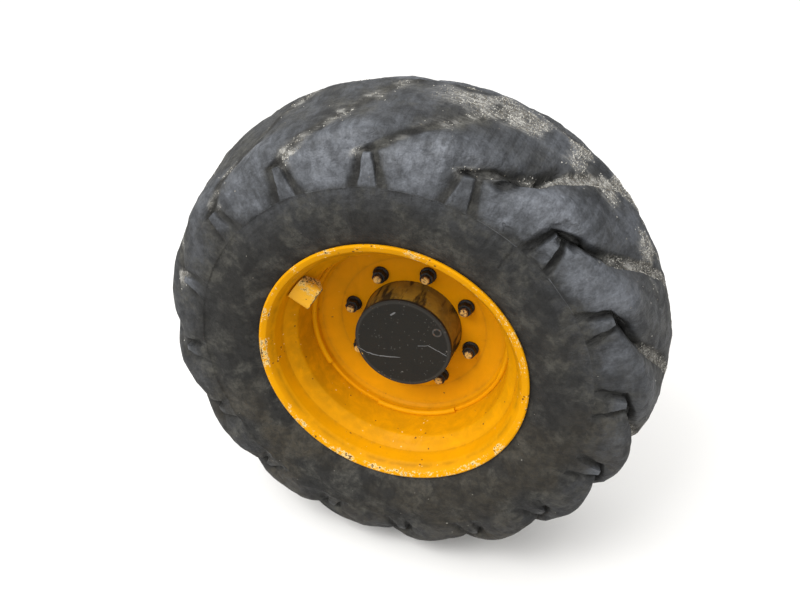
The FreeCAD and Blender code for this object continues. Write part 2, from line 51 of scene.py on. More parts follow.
MM = 0.001
ORIGIN = (0.0, 0.0, 0.0)
Socket = bpy.types.NodeSocket
Given = dict[str, Socket]
Triple = tuple[float, float, float]         # a colour or a place
Stroke = tuple[Triple, Triple, float]       # start, end and width of a thin mark
Layers = tuple[object, object, object]      # roughness, metal and height, as values or sockets
Facts = dict[str, list[np.ndarray]]


class Body(Enum):
    """Bodies of the frame that a piece rides on."""

    WHEEL = "wheel"


class Slot(Enum):
    """Material slots of the record."""

    TYRE = "tyre_rubber"
    RIM = "rim_paint"
    HUB = "hub_paint"
    CASTING = "casting"
    NUT = "nut_steel"
    STUD = "stud_steel"
    ZINC = "bolt_zinc"
    BRIGHT = "bright_steel"
    SEAL = "seal_rubber"
    VALVE = "valve_rubber"
    CAP = "cap_plastic"


class Mask(Enum):
    """Values kept on a mesh's points, which its material reads."""

    EDGE = "edge"          # 1 on an outside corner, falling to 0 beside it
    CREVICE = "crevice"    # 1 in an inside corner
    DUST_AND_SHADE = "dust"          # settled dust and grit; on the rim and the valve guard also painted shade
    FACE = "face"          # 1 on the lugs, 0 on the side of the tyre, with painted highlight and shade on the lugs
    DEEP_SHADE = "deep"          # painted shade: 1 at the bottom of a groove and in a tear
    MUD = "mud"            # 1 where mud has dried on the rubber
    TIP = "tip"            # 1 at a fastener's end


# Shader building


class Tree:
    """Short way to lay nodes in a tree."""

    def __init__(self, tree: bpy.types.NodeTree) -> None:
        """Keeps the tree that the nodes go in."""
        self.tree = tree

    def node(self, kind: str, inputs: dict[str | int, object] | None = None,
             **settings: object) -> bpy.types.Node:
        """Adds one node.

        Args:
            kind: the node's type name.
            inputs: values or sockets, by the input's name or number.
            settings: the node's own properties.

        Returns:
            The node.
        """
        made = self.tree.nodes.new(kind)
        for name, value in settings.items():
            setattr(made, name, value)
        for name, value in (inputs or {}).items():
            self.feed(made.inputs[name], value)
        return made

    def feed(self, socket: Socket, value: object) -> None:
        """Links a socket to another, or sets its value.

        Args:
            socket: the input.
            value: an output socket, or a number, vector or colour.
        """
        if isinstance(value, bpy.types.NodeSocket):
            self.tree.links.new(value, socket)
        elif socket.type == "RGBA" and len(value) == 3:
            socket.default_value = (*value, 1.0)
        else:
            socket.default_value = value

    def maths(self, operation: str, *values: object, clamp: bool = False) -> Socket:
        """One Math node, whose result stays between 0 and 1 where it is clamped."""
        inputs = dict(enumerate(values))
        return self.node("ShaderNodeMath", inputs, operation=operation, use_clamp=clamp).outputs[0]

    def times(self, value: object, factor: object, plus: object = 0.0, clamp: bool = False) -> Socket:
        """A value times a factor, plus a third."""
        return self.maths("MULTIPLY_ADD", value, factor, plus, clamp=clamp)

    def vectors(self, operation: str, *values: object) -> Socket:
        """One Vector Math node."""
        made = self.node("ShaderNodeVectorMath", dict(enumerate(values)), operation=operation)
        return made.outputs["Value" if operation in ("DOT_PRODUCT", "LENGTH") else "Vector"]

    def scaled(self, vector: object, factor: object) -> Socket:
        """A vector times a number."""
        return self.node("ShaderNodeVectorMath", {0: vector, "Scale": factor}, operation="SCALE").outputs[0]

    def noise(self, place: object, scale: object, detail: float, **more: object) -> Socket:
        """One noise texture's value."""
        inputs = {"Vector": place, "Scale": scale, "Detail": detail, **more}
        return self.node("ShaderNodeTexNoise", inputs).outputs[0]

    def step(self, value: object, low: object, high: object, to_low: float = 0.0,
             to_high: float = 1.0) -> Socket:
        """Smooth step from one level to another.

        Args:
            value: what is read.
            low: value at which the step starts.
            high: value at which it ends.
            to_low: result below the step.
            to_high: result above it.

        Returns:
            The result.
        """
        levels = {"Value": value, "From Min": low, "From Max": high, "To Min": to_low, "To Max": to_high}
        return self.node("ShaderNodeMapRange", levels, interpolation_type="SMOOTHSTEP").outputs[0]

    def blend(self, under: object, over: object, mask: object) -> Socket:
        """One colour over another where a mask is high."""
        inputs = {"Factor": mask, "A": under, "B": over}
        return self.node("ShaderNodeMix", inputs, data_type="RGBA").outputs["Result"]


class Coat(Tree):
    """A material's tree, with the colour that has been laid so far."""

    def __init__(self, tree: bpy.types.NodeTree, colour: Triple) -> None:
        """Starts with one colour.

        Args:
            tree: the material's tree.
            colour: the colour.
        """
        super().__init__(tree)
        self.colour: object = colour
        self.here = self.node("ShaderNodeTexCoord").outputs["Object"]

    def mask(self, mask: Mask) -> Socket:
        """A value kept on the mesh's points."""
        return self.node("ShaderNodeAttribute", attribute_name=mask.value).outputs["Fac"]

    def lay(self, colour: object, mask: object, share: float = 1.0) -> None:
        """Lays a share of another colour where a mask is high."""
        self.colour = self.blend(self.colour, colour, self.times(mask, share))


def add_inputs(group: bpy.types.NodeTree, inputs: dict[str, object]) -> dict[str, str]:
    """Gives a node group its named inputs.

    Args:
        group: the group.
        inputs: what each is where nothing is given, by name.

    Returns:
        The inputs' identifiers by name.
    """
    kinds = {int: "Int", float: "Float", tuple: "Vector"}
    names = {}
    for name, value in inputs.items():
        kind = "NodeSocket" + kinds[type(value)]
        made = group.interface.new_socket(name, in_out="INPUT", socket_type=kind)
        made.default_value = value
        names[name] = made.identifier
    return names


@dataclass(frozen=True)
class Effect:
    """Shader group that several finishes use. It is built once and puts out one mask or height."""

    groups: ClassVar[dict[str, bpy.types.NodeTree]] = {}

    name: str
    inputs: dict[str, object]
    output: str
    fill: Callable[[Tree, Given], Socket]

    def group(self) -> bpy.types.NodeTree:
        """Makes the group, or gives the one made before."""
        if self.name not in Effect.groups:
            group = bpy.data.node_groups.new(self.name, "ShaderNodeTree")
            add_inputs(group, {"Place": ORIGIN, **self.inputs})
            group.interface.new_socket(self.output, in_out="OUTPUT", socket_type="NodeSocketFloat")
            tree = Tree(group)
            tree.node("NodeGroupOutput", {0: self.fill(tree, tree.node("NodeGroupInput").outputs)})
            Effect.groups[self.name] = group
        return Effect.groups[self.name]

    def __call__(self, coat: Coat, **values: object) -> Socket:
        """Places the group in a material, with its inputs by name."""
        return coat.node("ShaderNodeGroup", {"Place": coat.here, **values}, node_tree=self.group()).outputs[0]


def effect(name: str, output: str = "Mask", **inputs: object) -> Callable[[Callable], Effect]:
    """Turns a function, which lays nodes and gives their result, into a shader group.

    Args:
        name: the group's name.
        output: what it puts out.
        inputs: its inputs besides the place, and what each is where nothing is given.

    Returns:
        The decorator.
    """
    return lambda fill: Effect(name, inputs, output, fill)


@effect("Patches", Scale=10.0, Cover=0.5, Soft=0.08)
def patches(tree: Tree, given: Given) -> Socket:
    """Soft blotches that cover a share of the surface."""
    noise = tree.noise(given["Place"], given["Scale"], 5.0, Roughness=0.62, Distortion=0.4)
    levels = {"Value": given["Cover"], "To Min": 0.72, "To Max": 0.28}
    level = tree.node("ShaderNodeMapRange", levels).outputs[0]
    low, high = (tree.maths(way, level, given["Soft"]) for way in ("SUBTRACT", "ADD"))
    return tree.step(noise, low, high)


@effect("Flecks", Scale=100.0, Amount=0.3)
def flecks(tree: Tree, given: Given) -> Socket:
    """Small scattered specks of uneven size."""
    place, scale = given["Place"], given["Scale"]
    bent = tree.node("ShaderNodeTexNoise", {"Vector": place, "Scale": scale, "Detail": 3.0})
    shift = tree.scaled(bent.outputs["Color"], tree.maths("DIVIDE", 0.9, scale))
    spread = {"Vector": tree.vectors("ADD", place, shift), "Scale": scale, "Randomness": 1.0}
    cells = tree.node("ShaderNodeTexVoronoi", spread)
    chance = tree.node("ShaderNodeSeparateColor", {0: cells.outputs["Color"]})
    kept = tree.maths("LESS_THAN", chance.outputs[0], given["Amount"])
    size = tree.times(chance.outputs[1], 0.22, 0.08)
    return tree.times(kept, tree.step(cells.outputs["Distance"], size, tree.times(size, 0.75)))


@effect("Edge chips", Edge=0.0, Scale=120.0, Reach=0.4, Amount=0.1)
def chips(tree: Tree, given: Given) -> Socket:
    """Ragged loss along edges, where the edge mask and a noise add up past a level."""
    broad = tree.noise(given["Place"], tree.times(given["Scale"], 0.16), 3.0)
    fine = tree.noise(given["Place"], given["Scale"], 6.0, Roughness=0.7)
    total = tree.times(given["Edge"], given["Reach"], tree.times(broad, 0.8, fine))
    level = tree.maths("SUBTRACT", 1.42, given["Amount"])
    return tree.step(total, level, tree.maths("ADD", level, 0.05))


@effect("Streaks", Stretch=(1.0, 1.0, 0.15), Scale=60.0, Cover=0.4)
def streaks(tree: Tree, given: Given) -> Socket:
    """Runs of soiling, long in one direction."""
    place = tree.vectors("MULTIPLY", given["Place"], given["Stretch"])
    noise = tree.noise(place, given["Scale"], 4.0, Roughness=0.55)
    low = tree.maths("SUBTRACT", 0.72, tree.times(given["Cover"], 0.45))
    return tree.step(noise, low, tree.maths("ADD", low, 0.14))


@effect("Rays", Round=0.45, Outward=0.2, Across=0.0, Scale=60.0)
def rays(tree: Tree, given: Given) -> Socket:
    """Fine marks that run outward from the wheel's axle, across its tread or round it."""
    flat = tree.vectors("MULTIPLY", given["Place"], (1.0, 0.0, 1.0))
    round_axle = tree.scaled(tree.vectors("NORMALIZE", flat), given["Round"])
    outward = tree.times(tree.vectors("LENGTH", flat), given["Outward"])
    deep = tree.node("ShaderNodeSeparateXYZ", {0: given["Place"]}).outputs["Y"]
    along = tree.node("ShaderNodeCombineXYZ", {1: tree.times(deep, given["Across"], outward)}).outputs[0]
    place = tree.vectors("ADD", round_axle, along)
    return tree.step(tree.noise(place, given["Scale"], 5.0, Roughness=0.65, Distortion=0.3), 0.38, 0.66)


@effect("Grain", "Height", Scale=200.0, Pits=0.4)
def grain(tree: Tree, given: Given) -> Socket:
    """Height of a rough surface: broad lumps with finer ones on them."""
    broad = tree.noise(given["Place"], given["Scale"], 6.0, Roughness=0.6)
    spread = {"Vector": given["Place"], "Scale": tree.times(given["Scale"], 2.3)}
    pits = tree.node("ShaderNodeTexVoronoi", spread, feature="SMOOTH_F1")
    return tree.times(pits.outputs["Distance"], given["Pits"], broad)


@effect("Stroke", Start=ORIGIN, End=ORIGIN, Width=0.001, Wander=0.004)
def stroke(tree: Tree, given: Given) -> Socket:
    """Thin wandering mark between two points."""
    noise = tree.node("ShaderNodeTexNoise", {"Vector": given["Place"], "Scale": 60.0, "Detail": 3.0})
    bend = tree.scaled(tree.vectors("SUBTRACT", noise.outputs["Color"], (0.5, 0.5, 0.5)), given["Wander"])
    from_start = tree.vectors("SUBTRACT", tree.vectors("ADD", given["Place"], bend), given["Start"])
    line = tree.vectors("SUBTRACT", given["End"], given["Start"])
    along, whole = (tree.vectors("DOT_PRODUCT", way, line) for way in (from_start, line))
    share = tree.maths("DIVIDE", along, whole, clamp=True)
    away = tree.vectors("LENGTH", tree.vectors("SUBTRACT", from_start, tree.scaled(line, share)))
    taper = tree.times(given["Width"], tree.step(share, 1.0, 0.7, 0.45, 1.0))
    return tree.step(away, taper, tree.times(taper, 0.35))


@effect("Skyward dust", Scale=30.0, Low=0.3, High=1.0)
def skyward(tree: Tree, given: Given) -> Socket:
    """Where dust settles: faces that look up when the wheel stands as it does at rest."""
    normal = tree.node("ShaderNodeTexCoord").outputs["Normal"]
    broken = tree.maths("SUBTRACT", tree.noise(given["Place"], given["Scale"], 5.0), 0.5)
    total = tree.times(broken, 0.9, tree.vectors("DOT_PRODUCT", normal, (0.0, 0.0, 1.0)))
    return tree.step(total, given["Low"], given["High"])


def strokes(coat: Coat, marks: Sequence[Stroke], wander: float) -> Socket:
    """Mask of several thin marks.

    Args:
        coat: the material's tree.
        marks: the marks.
        wander: how far they stray from straight, in metres.

    Returns:
        The mask.
    """
    total: object = 0.0
    for start, end, width in marks:
        mark = stroke(coat, Start=start, End=end, Width=width, Wander=wander)
        total = coat.maths("MAXIMUM", total, mark)
    return total


# Finishes


@dataclass(frozen=True)
class Finish:
    """What a surface looks like."""

    name: str
    slot: Slot
    colour: Triple
    rough: float = 0.5
    bump: float = 0.3
    relief: float = 0.6 * MM
    specular: float = 0.5

    def layers(self, coat: Coat) -> Layers:
        """Lays the finish's colours, and gives its roughness, metal and height."""
        return self.rough, 0.0, grain(coat)

    def material(self) -> bpy.types.Material:
        """Builds the material, or gives the one made before."""
        if self.name in bpy.data.materials:
            return bpy.data.materials[self.name]
        made = bpy.data.materials.new(self.name)
        made.use_nodes = True
        coat = Coat(made.node_tree, self.colour)
        rough, metal, height = self.layers(coat)
        bump = coat.node("ShaderNodeBump", {"Strength": self.bump, "Distance": self.relief, "Height": height})
        values = {"Base Color": coat.colour, "Roughness": rough, "Metallic": metal,
                  "Normal": bump.outputs[0], "Specular IOR Level": self.specular}
        for name, value in values.items():
            coat.feed(made.node_tree.nodes["Principled BSDF"].inputs[name], value)
        return made


@dataclass(frozen=True)
class Rubber(Finish):
    """Weathered tyre rubber: blue-grey worn lugs with painted highlight and shade, browner sides, dust, pale
    scuffs, cracks, and painted shade in the grooves, creases and tears.
    """

    side: Triple = (0.0145, 0.014, 0.0125)
    film: Triple = (0.074, 0.072, 0.062)
    dust: Triple = (0.44, 0.43, 0.40)
    mud: Triple = (0.050, 0.041, 0.026)
    scuff_and_highlight: Triple = (0.165, 0.176, 0.198)
    black: Triple = (0.005, 0.005, 0.005)
    groove_shade: Triple = (0.040, 0.040, 0.038)
    lip: Triple = (0.17, 0.18, 0.19)
    crumb: Triple = (0.52, 0.50, 0.45)
    speck: Triple = (0.24, 0.23, 0.20)
    cracks: tuple[Stroke, ...] = ()
    folds: tuple[Stroke, ...] = ()

    def layers(self, coat: Coat) -> Layers:
        """Lays the rubber's colours, and gives its roughness, metal and height."""
        face, settled, rim = (coat.mask(mask) for mask in (Mask.FACE, Mask.DUST_AND_SHADE, Mask.EDGE))
        coat.lay(self.side, coat.maths("SUBTRACT", 1.0, face))
        cloudy = patches(coat, Scale=8.5, Cover=0.5, Soft=0.14)
        rayed = rays(coat, Outward=0.22, Scale=75.0)
        # Pale blue-grey on the lug faces: worn rubber, tinted as a painted sky reflection, and laid more or
        # less by the face mask as painted highlight and shade
        coat.lay(self.scuff_and_highlight, coat.times(coat.times(cloudy, 0.70, coat.times(rayed, 0.32)), face))
        speckled = patches(coat, Scale=85.0, Cover=0.52, Soft=0.10)
        moulded = rays(coat, Round=0.04, Outward=1.0, Scale=95.0)
        off_face = coat.step(face, 0.0, 0.8, 1.0, 0.12)
        coat.lay(self.black, coat.times(moulded, off_face), 0.4)
        grey = patches(coat, Scale=19.0, Cover=0.42, Soft=0.10)
        grey = coat.times(grey, coat.times(speckled, 0.60, 0.27))
        coat.lay(self.film, coat.times(grey, off_face))
        caked_on = coat.times(coat.mask(Mask.MUD), coat.times(speckled, 0.5, 0.4))
        coat.lay(self.mud, coat.times(caked_on, off_face))
        fine = patches(coat, Scale=48.0, Cover=0.45, Soft=0.12)
        coat.lay(self.black, fine, 0.38)
        coat.lay(self.black, patches(coat, Scale=170.0, Cover=0.45, Soft=0.16), 0.28)
        # Painted shade: black and dark grey at the bottoms of the gaps and grooves and in the tears
        coat.lay(coat.blend(self.black, self.groove_shade, rayed), coat.mask(Mask.DEEP_SHADE), 0.9)
        worn = chips(coat, Edge=rim, Scale=90.0, Reach=0.5, Amount=0.06)
        # Pale edges: worn chips, and pale lines along the lug feet and gap edges that are partly worn rubber
        # and partly painted highlight
        coat.lay(self.lip, coat.maths("MAXIMUM", worn, coat.step(rim, 0.4, 0.95, 0.0, 0.6)), 0.5)
        brushed = rays(coat, Round=0.10, Outward=0.15, Across=1.0, Scale=190.0)
        caked = patches(coat, Scale=36.0, Cover=0.58, Soft=0.12)
        grained = coat.times(*(coat.step(mask, 0.0, 1.0, 0.3, 1.0) for mask in (caked, brushed)))
        powder = coat.times(settled, grained, clamp=True)
        coat.lay(self.dust, powder, 0.85)
        crumbs = flecks(coat, Scale=210.0, Amount=0.6)
        coat.lay(self.crumb, coat.times(crumbs, coat.step(settled, 0.3, 0.8)))
        coat.lay(self.speck, flecks(coat, Scale=150.0, Amount=0.010), 0.7)
        split = strokes(coat, self.cracks, 12.0 * MM)
        coat.lay(self.black, split)
        # Painted shade along the creases round the star crack
        fold = strokes(coat, self.folds, 8.0 * MM)
        coat.lay(self.black, fold, 0.25)
        rough = coat.times(fine, 0.14, coat.step(face, 0.0, 1.0, 0.66, 0.44))
        rough = coat.times(powder, 0.35, rough, clamp=True)
        lumps = coat.noise(coat.here, 24.0, 3.0, Distortion=0.8)
        height = grain(coat, Scale=120.0, Pits=0.5)
        for mask, tall in ((lumps, coat.step(face, 0.0, 1.0, 2.2, 4.2)), (rayed, 0.25),
                           (coat.times(settled, grained), 1.0), (crumbs, coat.times(settled, 0.8)),
                           (fold, -2.0), (split, -1.5)):
            height = coat.times(mask, tall, height)
        return rough, 0.0, height


@dataclass(frozen=True)
class ChippedPaint(Finish):
    """Orange-yellow wheel paint over primer, with chips, pits, staining and painted shade in the corners, and
    dust, which on the rim and the valve guard also carries painted shade.
    """

    shade: Triple = (0.52, 0.235, 0.002)
    primer: Triple = (0.86, 0.64, 0.27)
    rust: Triple = (0.10, 0.040, 0.014)
    dirt_and_shade: Triple = (0.23, 0.105, 0.008)
    grime_and_shade: Triple = (0.41, 0.185, 0.003)
    chips: float = 0.10
    pits: float = 0.05

    def layers(self, coat: Coat) -> Layers:
        """Lays the paint's colours, and gives its roughness, metal and height."""
        edge = coat.mask(Mask.EDGE)
        coat.lay(self.shade, patches(coat, Scale=11.0, Cover=0.5, Soft=0.2), 0.35)
        stain = patches(coat, Scale=38.0, Cover=0.36, Soft=0.12)
        # Painted shade in the inside corners, mixed with staining where the stain patches fall
        held = coat.times(coat.mask(Mask.CREVICE), 0.45, 0.05, clamp=True)
        coat.lay(self.dirt_and_shade, coat.times(coat.step(stain, 0.0, 1.0, 0.55, 1.0), held))
        # Dust and soiling from the dust mask; on the rim and the valve guard this mask also lays painted
        # shade
        coat.lay(self.grime_and_shade, coat.times(coat.mask(Mask.DUST_AND_SHADE), patches(coat, Scale=34.0, Cover=0.6, Soft=0.2)))
        coat.lay(self.dirt_and_shade, streaks(coat, Scale=26.0, Cover=0.3), 0.08)
        chip, bare = (chips(coat, Edge=edge, Scale=150.0, Reach=0.36, Amount=amount)
                      for amount in (self.chips, self.chips - 0.075))
        coat.lay(self.primer, chip)
        coat.lay(self.rust, bare)
        crowded = patches(coat, Scale=13.0, Cover=0.36, Soft=0.05)
        pit = flecks(coat, Scale=110.0, Amount=coat.times(crowded, 2.2 * self.pits, 0.4 * self.pits))
        coat.lay(self.rust, pit, 0.9)
        moved = coat.vectors("ADD", coat.here, (3.0, 1.0, 2.0))
        pale = flecks(coat, Place=moved, Scale=150.0, Amount=coat.times(crowded, 2.0 * self.pits))
        coat.lay(self.primer, pale, 0.8)
        rough = coat.times(chip, 0.25, coat.times(stain, 0.18, self.rough), clamp=True)
        height = coat.times(chip, -0.6, grain(coat, Scale=90.0, Pits=0.15))
        return rough, 0.0, coat.times(pit, -0.8, height)


@dataclass(frozen=True)
class HubBlack(Finish):
    """Dull black paint that has run over earlier yellow: near black in front, with olive streaks on the side
    that are partly that yellow and partly a painted reflection of the yellow disc.
    """

    olive_paint_and_reflection: Triple = (0.36, 0.225, 0.030)
    pale: Triple = (0.34, 0.33, 0.31)
    smeared: Triple = (0.022, 0.020, 0.016)
    paleness: Triple = (0.11, 0.105, 0.095)
    scratch: Triple = (0.26, 0.27, 0.28)
    chipped: Triple = (0.55, 0.30, 0.03)
    front: float = 0.377
    scratches: tuple[Stroke, ...] = ()

    def layers(self, coat: Coat) -> Layers:
        """Lays the colours of the hub's paint, and gives its roughness, metal and height."""
        along = coat.node("ShaderNodeSeparateXYZ", {0: coat.here}).outputs["Y"]
        on_side = coat.step(along, -self.front + 5.0 * MM, -self.front + 10.0 * MM)
        runs = streaks(coat, Stretch=(1.0, 0.28, 1.0), Scale=34.0, Cover=0.5)
        # Olive streaks on the side: partly earlier yellow paint under black runs, partly a painted reflection
        # of the yellow disc
        coat.lay(self.olive_paint_and_reflection, coat.times(on_side, coat.step(runs, 0.0, 1.0, 0.85, 0.1)))
        smear = patches(coat, Scale=24.0, Cover=0.5, Soft=0.2)
        coat.lay(self.smeared, smear, 0.5)
        for scale, amount, share in ((85.0, 0.5, 0.10), (200.0, 0.25, 0.14), (150.0, 0.015, 0.35)):
            coat.lay(self.pale, flecks(coat, Scale=scale, Amount=amount), share)
        edge = coat.mask(Mask.EDGE)
        # Painted highlight: a pale line where the bevel round the front catches the light
        coat.lay(self.paleness, coat.step(edge, 0.35, 0.95), 0.18)
        marks = strokes(coat, self.scratches, 4.0 * MM)
        coat.lay(self.scratch, marks, 0.6)
        coat.lay(self.chipped, chips(coat, Edge=edge, Scale=130.0, Reach=0.35, Amount=0.02))
        height = coat.times(marks, 0.4, grain(coat, Scale=150.0, Pits=0.4))
        return coat.times(smear, 0.2, self.rough), 0.0, height


@dataclass(frozen=True)
class CastIron(Finish):
    """Dark painted casting with a sandy skin, rust at its edges, oil and dust."""

    rust: Triple = (0.115, 0.042, 0.016)
    oil: Triple = (0.012, 0.011, 0.010)
    dust: Triple = (0.20, 0.165, 0.115)
    rusty: float = 0.12

    def layers(self, coat: Coat) -> Layers:
        """Lays the casting's colours, and gives its roughness, metal and height."""
        coat.lay(self.oil, patches(coat, Scale=13.0, Cover=0.5, Soft=0.2), 0.6)
        rusted = chips(coat, Edge=coat.mask(Mask.EDGE), Scale=70.0, Reach=0.35, Amount=self.rusty)
        coat.lay(self.rust, rusted)
        dusty = coat.times(skyward(coat, Scale=28.0, Low=0.35, High=1.3), 0.7)
        held = coat.times(coat.mask(Mask.CREVICE), 0.6, dusty, clamp=True)
        coat.lay(self.dust, coat.times(held, patches(coat, Scale=55.0, Cover=0.6, Soft=0.2)))
        height = coat.times(rusted, -0.3, grain(coat, Scale=210.0, Pits=0.8))
        return coat.times(rusted, 0.25, self.rough, clamp=True), 0.0, height


@dataclass(frozen=True)
class Steel(Finish):
    """Bare or plated steel with stains, rust in spots and, where asked, paint on its end."""

    rust: Triple = (0.13, 0.055, 0.02)
    paleness: Triple = (0.16, 0.15, 0.14)
    tip: Triple = (0.72, 0.43, 0.11)
    tipped: float = 0.0
    metal: float = 0.7
    rusty: float = 0.35

    def layers(self, coat: Coat) -> Layers:
        """Lays the steel's colours, and gives its roughness, metal and height."""
        spots = patches(coat, Scale=130.0, Cover=self.rusty, Soft=0.1)
        coat.lay(self.rust, spots)
        edge = coat.mask(Mask.EDGE)
        coat.lay(self.paleness, chips(coat, Edge=edge, Scale=260.0, Reach=0.3, Amount=0.06), 0.5)
        blot = coat.times(coat.mask(Mask.TIP), patches(coat, Scale=160.0, Cover=0.62, Soft=0.07))
        painted = coat.times(blot, self.tipped)
        coat.lay(self.tip, painted)
        bare = coat.maths("SUBTRACT", 1.0, coat.maths("MAXIMUM", spots, painted))
        rough = coat.times(spots, 0.35, self.rough, clamp=True)
        return rough, coat.times(bare, self.metal), grain(coat, Scale=320.0, Pits=0.5)


@dataclass(frozen=True)
class Moulded(Finish):
    """Moulded rubber or plastic, dusty and a little scuffed."""

    dust: Triple = (0.22, 0.18, 0.12)

    def layers(self, coat: Coat) -> Layers:
        """Lays the moulding's colours, and gives its roughness, metal and height."""
        patch = patches(coat, Scale=60.0, Cover=0.42, Soft=0.16)
        coat.lay(self.dust, patch, 0.35)
        return coat.times(patch, 0.25, self.rough, clamp=True), 0.0, grain(coat, Scale=260.0, Pits=0.3)


@dataclass(frozen=True)
class Stone(Finish):
    """Pale grit caught in the tread, each crumb of its own shade."""

    dark: Triple = (0.13, 0.115, 0.09)

    def layers(self, coat: Coat) -> Layers:
        """Lays the grit's colours, and gives its roughness, metal and height."""
        coat.lay(self.dark, coat.step(coat.noise(coat.here, 160.0, 2.0), 0.40, 0.60))
        return self.rough, 0.0, grain(coat, Scale=500.0, Pits=0.3)


# Mesh building


class Outline:
    """Outline of a turned piece with rounded corners, cut fine enough to carry its edge masks."""

    EDGE_REACH = 3.0 * MM
    TURN_STEP = math.radians(15.0)
    MOST_CUT = 0.48        # of a run that one corner's rounding may take

    def __init__(self, corners: Sequence[Sequence[float]], closed: bool = True,
                 step: float = 8.0 * MM) -> None:
        """Rounds the corners and divides the long runs.

        Args:
            corners: radius, out and, where it is rounded, the rounding of each corner, in order.
            closed: whether the last corner joins the first. An open outline ends on the axis.
            step: longest run between two points.
        """
        self.closed = closed
        points: list[Vector] = []
        edges: list[Vector] = []
        crevices: list[Vector] = []
        here = [Vector(corner[:2]) for corner in corners]
        turning = sum(here[k - 1].cross(point) for k, point in enumerate(here))
        for k, point in enumerate(here):
            if not closed and k in (0, len(here) - 1):
                points.append(point)
                continue
            back = here[k - 1] - point
            ahead = here[(k + 1) % len(here)] - point
            (edges if back.cross(ahead) * turning < 0 else crevices).append(point)
            points.extend(self.arc(point, back, ahead, (*corners[k], 0.0)[2]))
        self.points = self.divided(points, step)
        self.edge = self.nearness(edges)
        self.crevice = self.nearness(crevices)

    def arc(self, corner: Vector, back: Vector, ahead: Vector, radius: float) -> list[Vector]:
        """Points of one rounded corner.

        Args:
            corner: the sharp corner.
            back: from the corner to the one before.
            ahead: from the corner to the next.
            radius: radius of the rounding.

        Returns:
            The arc's points, or the corner itself.
        """
        if radius <= 0:
            return [corner]
        half = back.angle(ahead) / 2
        cut = min(radius / math.tan(half), self.MOST_CUT * back.length, self.MOST_CUT * ahead.length)
        radius = cut * math.tan(half)
        inward = (back.normalized() + ahead.normalized()).normalized()
        middle = corner + inward * (radius / math.sin(half))
        first = corner + back.normalized() * cut - middle
        last = corner + ahead.normalized() * cut - middle
        sweep = first.angle_signed(last)
        steps = max(2, math.ceil(abs(sweep) / self.TURN_STEP))
        return [middle + Matrix.Rotation(-sweep * k / steps, 2) @ first for k in range(steps + 1)]

    def divided(self, points: list[Vector], step: float) -> np.ndarray:
        """The points, with more on every run longer than the step.

        Args:
            points: the outline's points.
            step: longest run between two.

        Returns:
            A row for each point.
        """
        result = []
        for k, start in enumerate(points if self.closed else points[:-1]):
            run = points[(k + 1) % len(points)] - start
            parts = max(1, math.ceil(run.length / step))
            if parts == 1 and run.length > 3 * self.EDGE_REACH:
                parts = 2
            result.extend(start + run * (i / parts) for i in range(parts))
        if not self.closed:
            result.append(points[-1])
        return np.array([tuple(point) for point in result])

    def nearness(self, marks: list[Vector]) -> np.ndarray:
        """How near each point is to the nearest mark, from 1 at it to 0."""
        if not marks:
            return np.zeros(len(self.points))
        places = np.array([tuple(mark) for mark in marks])
        gaps = np.linalg.norm(self.points[:, None] - places[None], axis=2)
        return np.exp(-gaps.min(axis=1) / self.EDGE_REACH)


def signed_volume(points: np.ndarray, faces: Sequence[Sequence[int]]) -> float:
    """Volume inside a closed mesh, below zero where its faces point inwards.

    Args:
        points: places of its points.
        faces: numbers of the points of each face.

    Returns:
        The volume.
    """
    total = 0.0
    for size in {len(face) for face in faces}:
        table = np.array([face for face in faces if len(face) == size])
        for k in range(1, size - 1):
            a, b, c = (points[table[:, i]] for i in (0, k, k + 1))
            total += float(np.einsum("ij,ij->", a, np.cross(b, c))) / 6.0
    return total


def placed(name: str, data: bpy.types.ID) -> bpy.types.Object:
    """An object in the scene from a mesh, a curve, a lamp or a camera."""
    made = bpy.data.objects.new(name, data)
    bpy.context.scene.collection.objects.link(made)
    return made


def mesh_object(name: str, points: np.ndarray, faces: Sequence[Sequence[int]],
                masks: dict[Mask, np.ndarray] | None = None, sharp: float = 40.0) -> bpy.types.Object:
    """Object at the origin from points and faces, with its faces turned outwards.

    Args:
        name: the object's name.
        points: places of its points, in metres.
        faces: numbers of the points of each face.
        masks: a value for each point, by mask.
        sharp: angle in degrees past which an edge is shaded sharp.

    Returns:
        The object, linked to the scene.
    """
    if signed_volume(points, faces) < 0:
        faces = [list(reversed(face)) for face in faces]
    mesh = bpy.data.meshes.new(name)
    mesh.from_pydata(points.tolist(), [], [list(map(int, face)) for face in faces])
    for mask, values in (masks or {}).items():
        keep_values(mesh, mask.value, values)
    mesh.update()
    smooth(mesh, sharp)
    return placed(name, mesh)


def smooth(mesh: bpy.types.Mesh, sharp: float = 40.0) -> None:
    """Smooth shading, with edges past an angle in degrees kept sharp."""
    mesh.shade_smooth()
    mesh.set_sharp_from_angle(angle=math.radians(sharp))


def quads(number: np.ndarray, close_rows: bool = False, close_columns: bool = False) -> np.ndarray:
    """Faces between the neighbours in a grid of point numbers.

    Args:
        number: the grid.
        close_rows: whether the last row joins the first.
        close_columns: whether the last column joins the first.

    Returns:
        Four point numbers for each face.
    """
    if close_rows:
        number = np.vstack([number, number[:1]])
    if close_columns:
        number = np.hstack([number, number[:, :1]])
    corners = [number[:-1, :-1], number[:-1, 1:], number[1:, 1:], number[1:, :-1]]
    return np.stack(corners, axis=2).reshape(-1, 4)


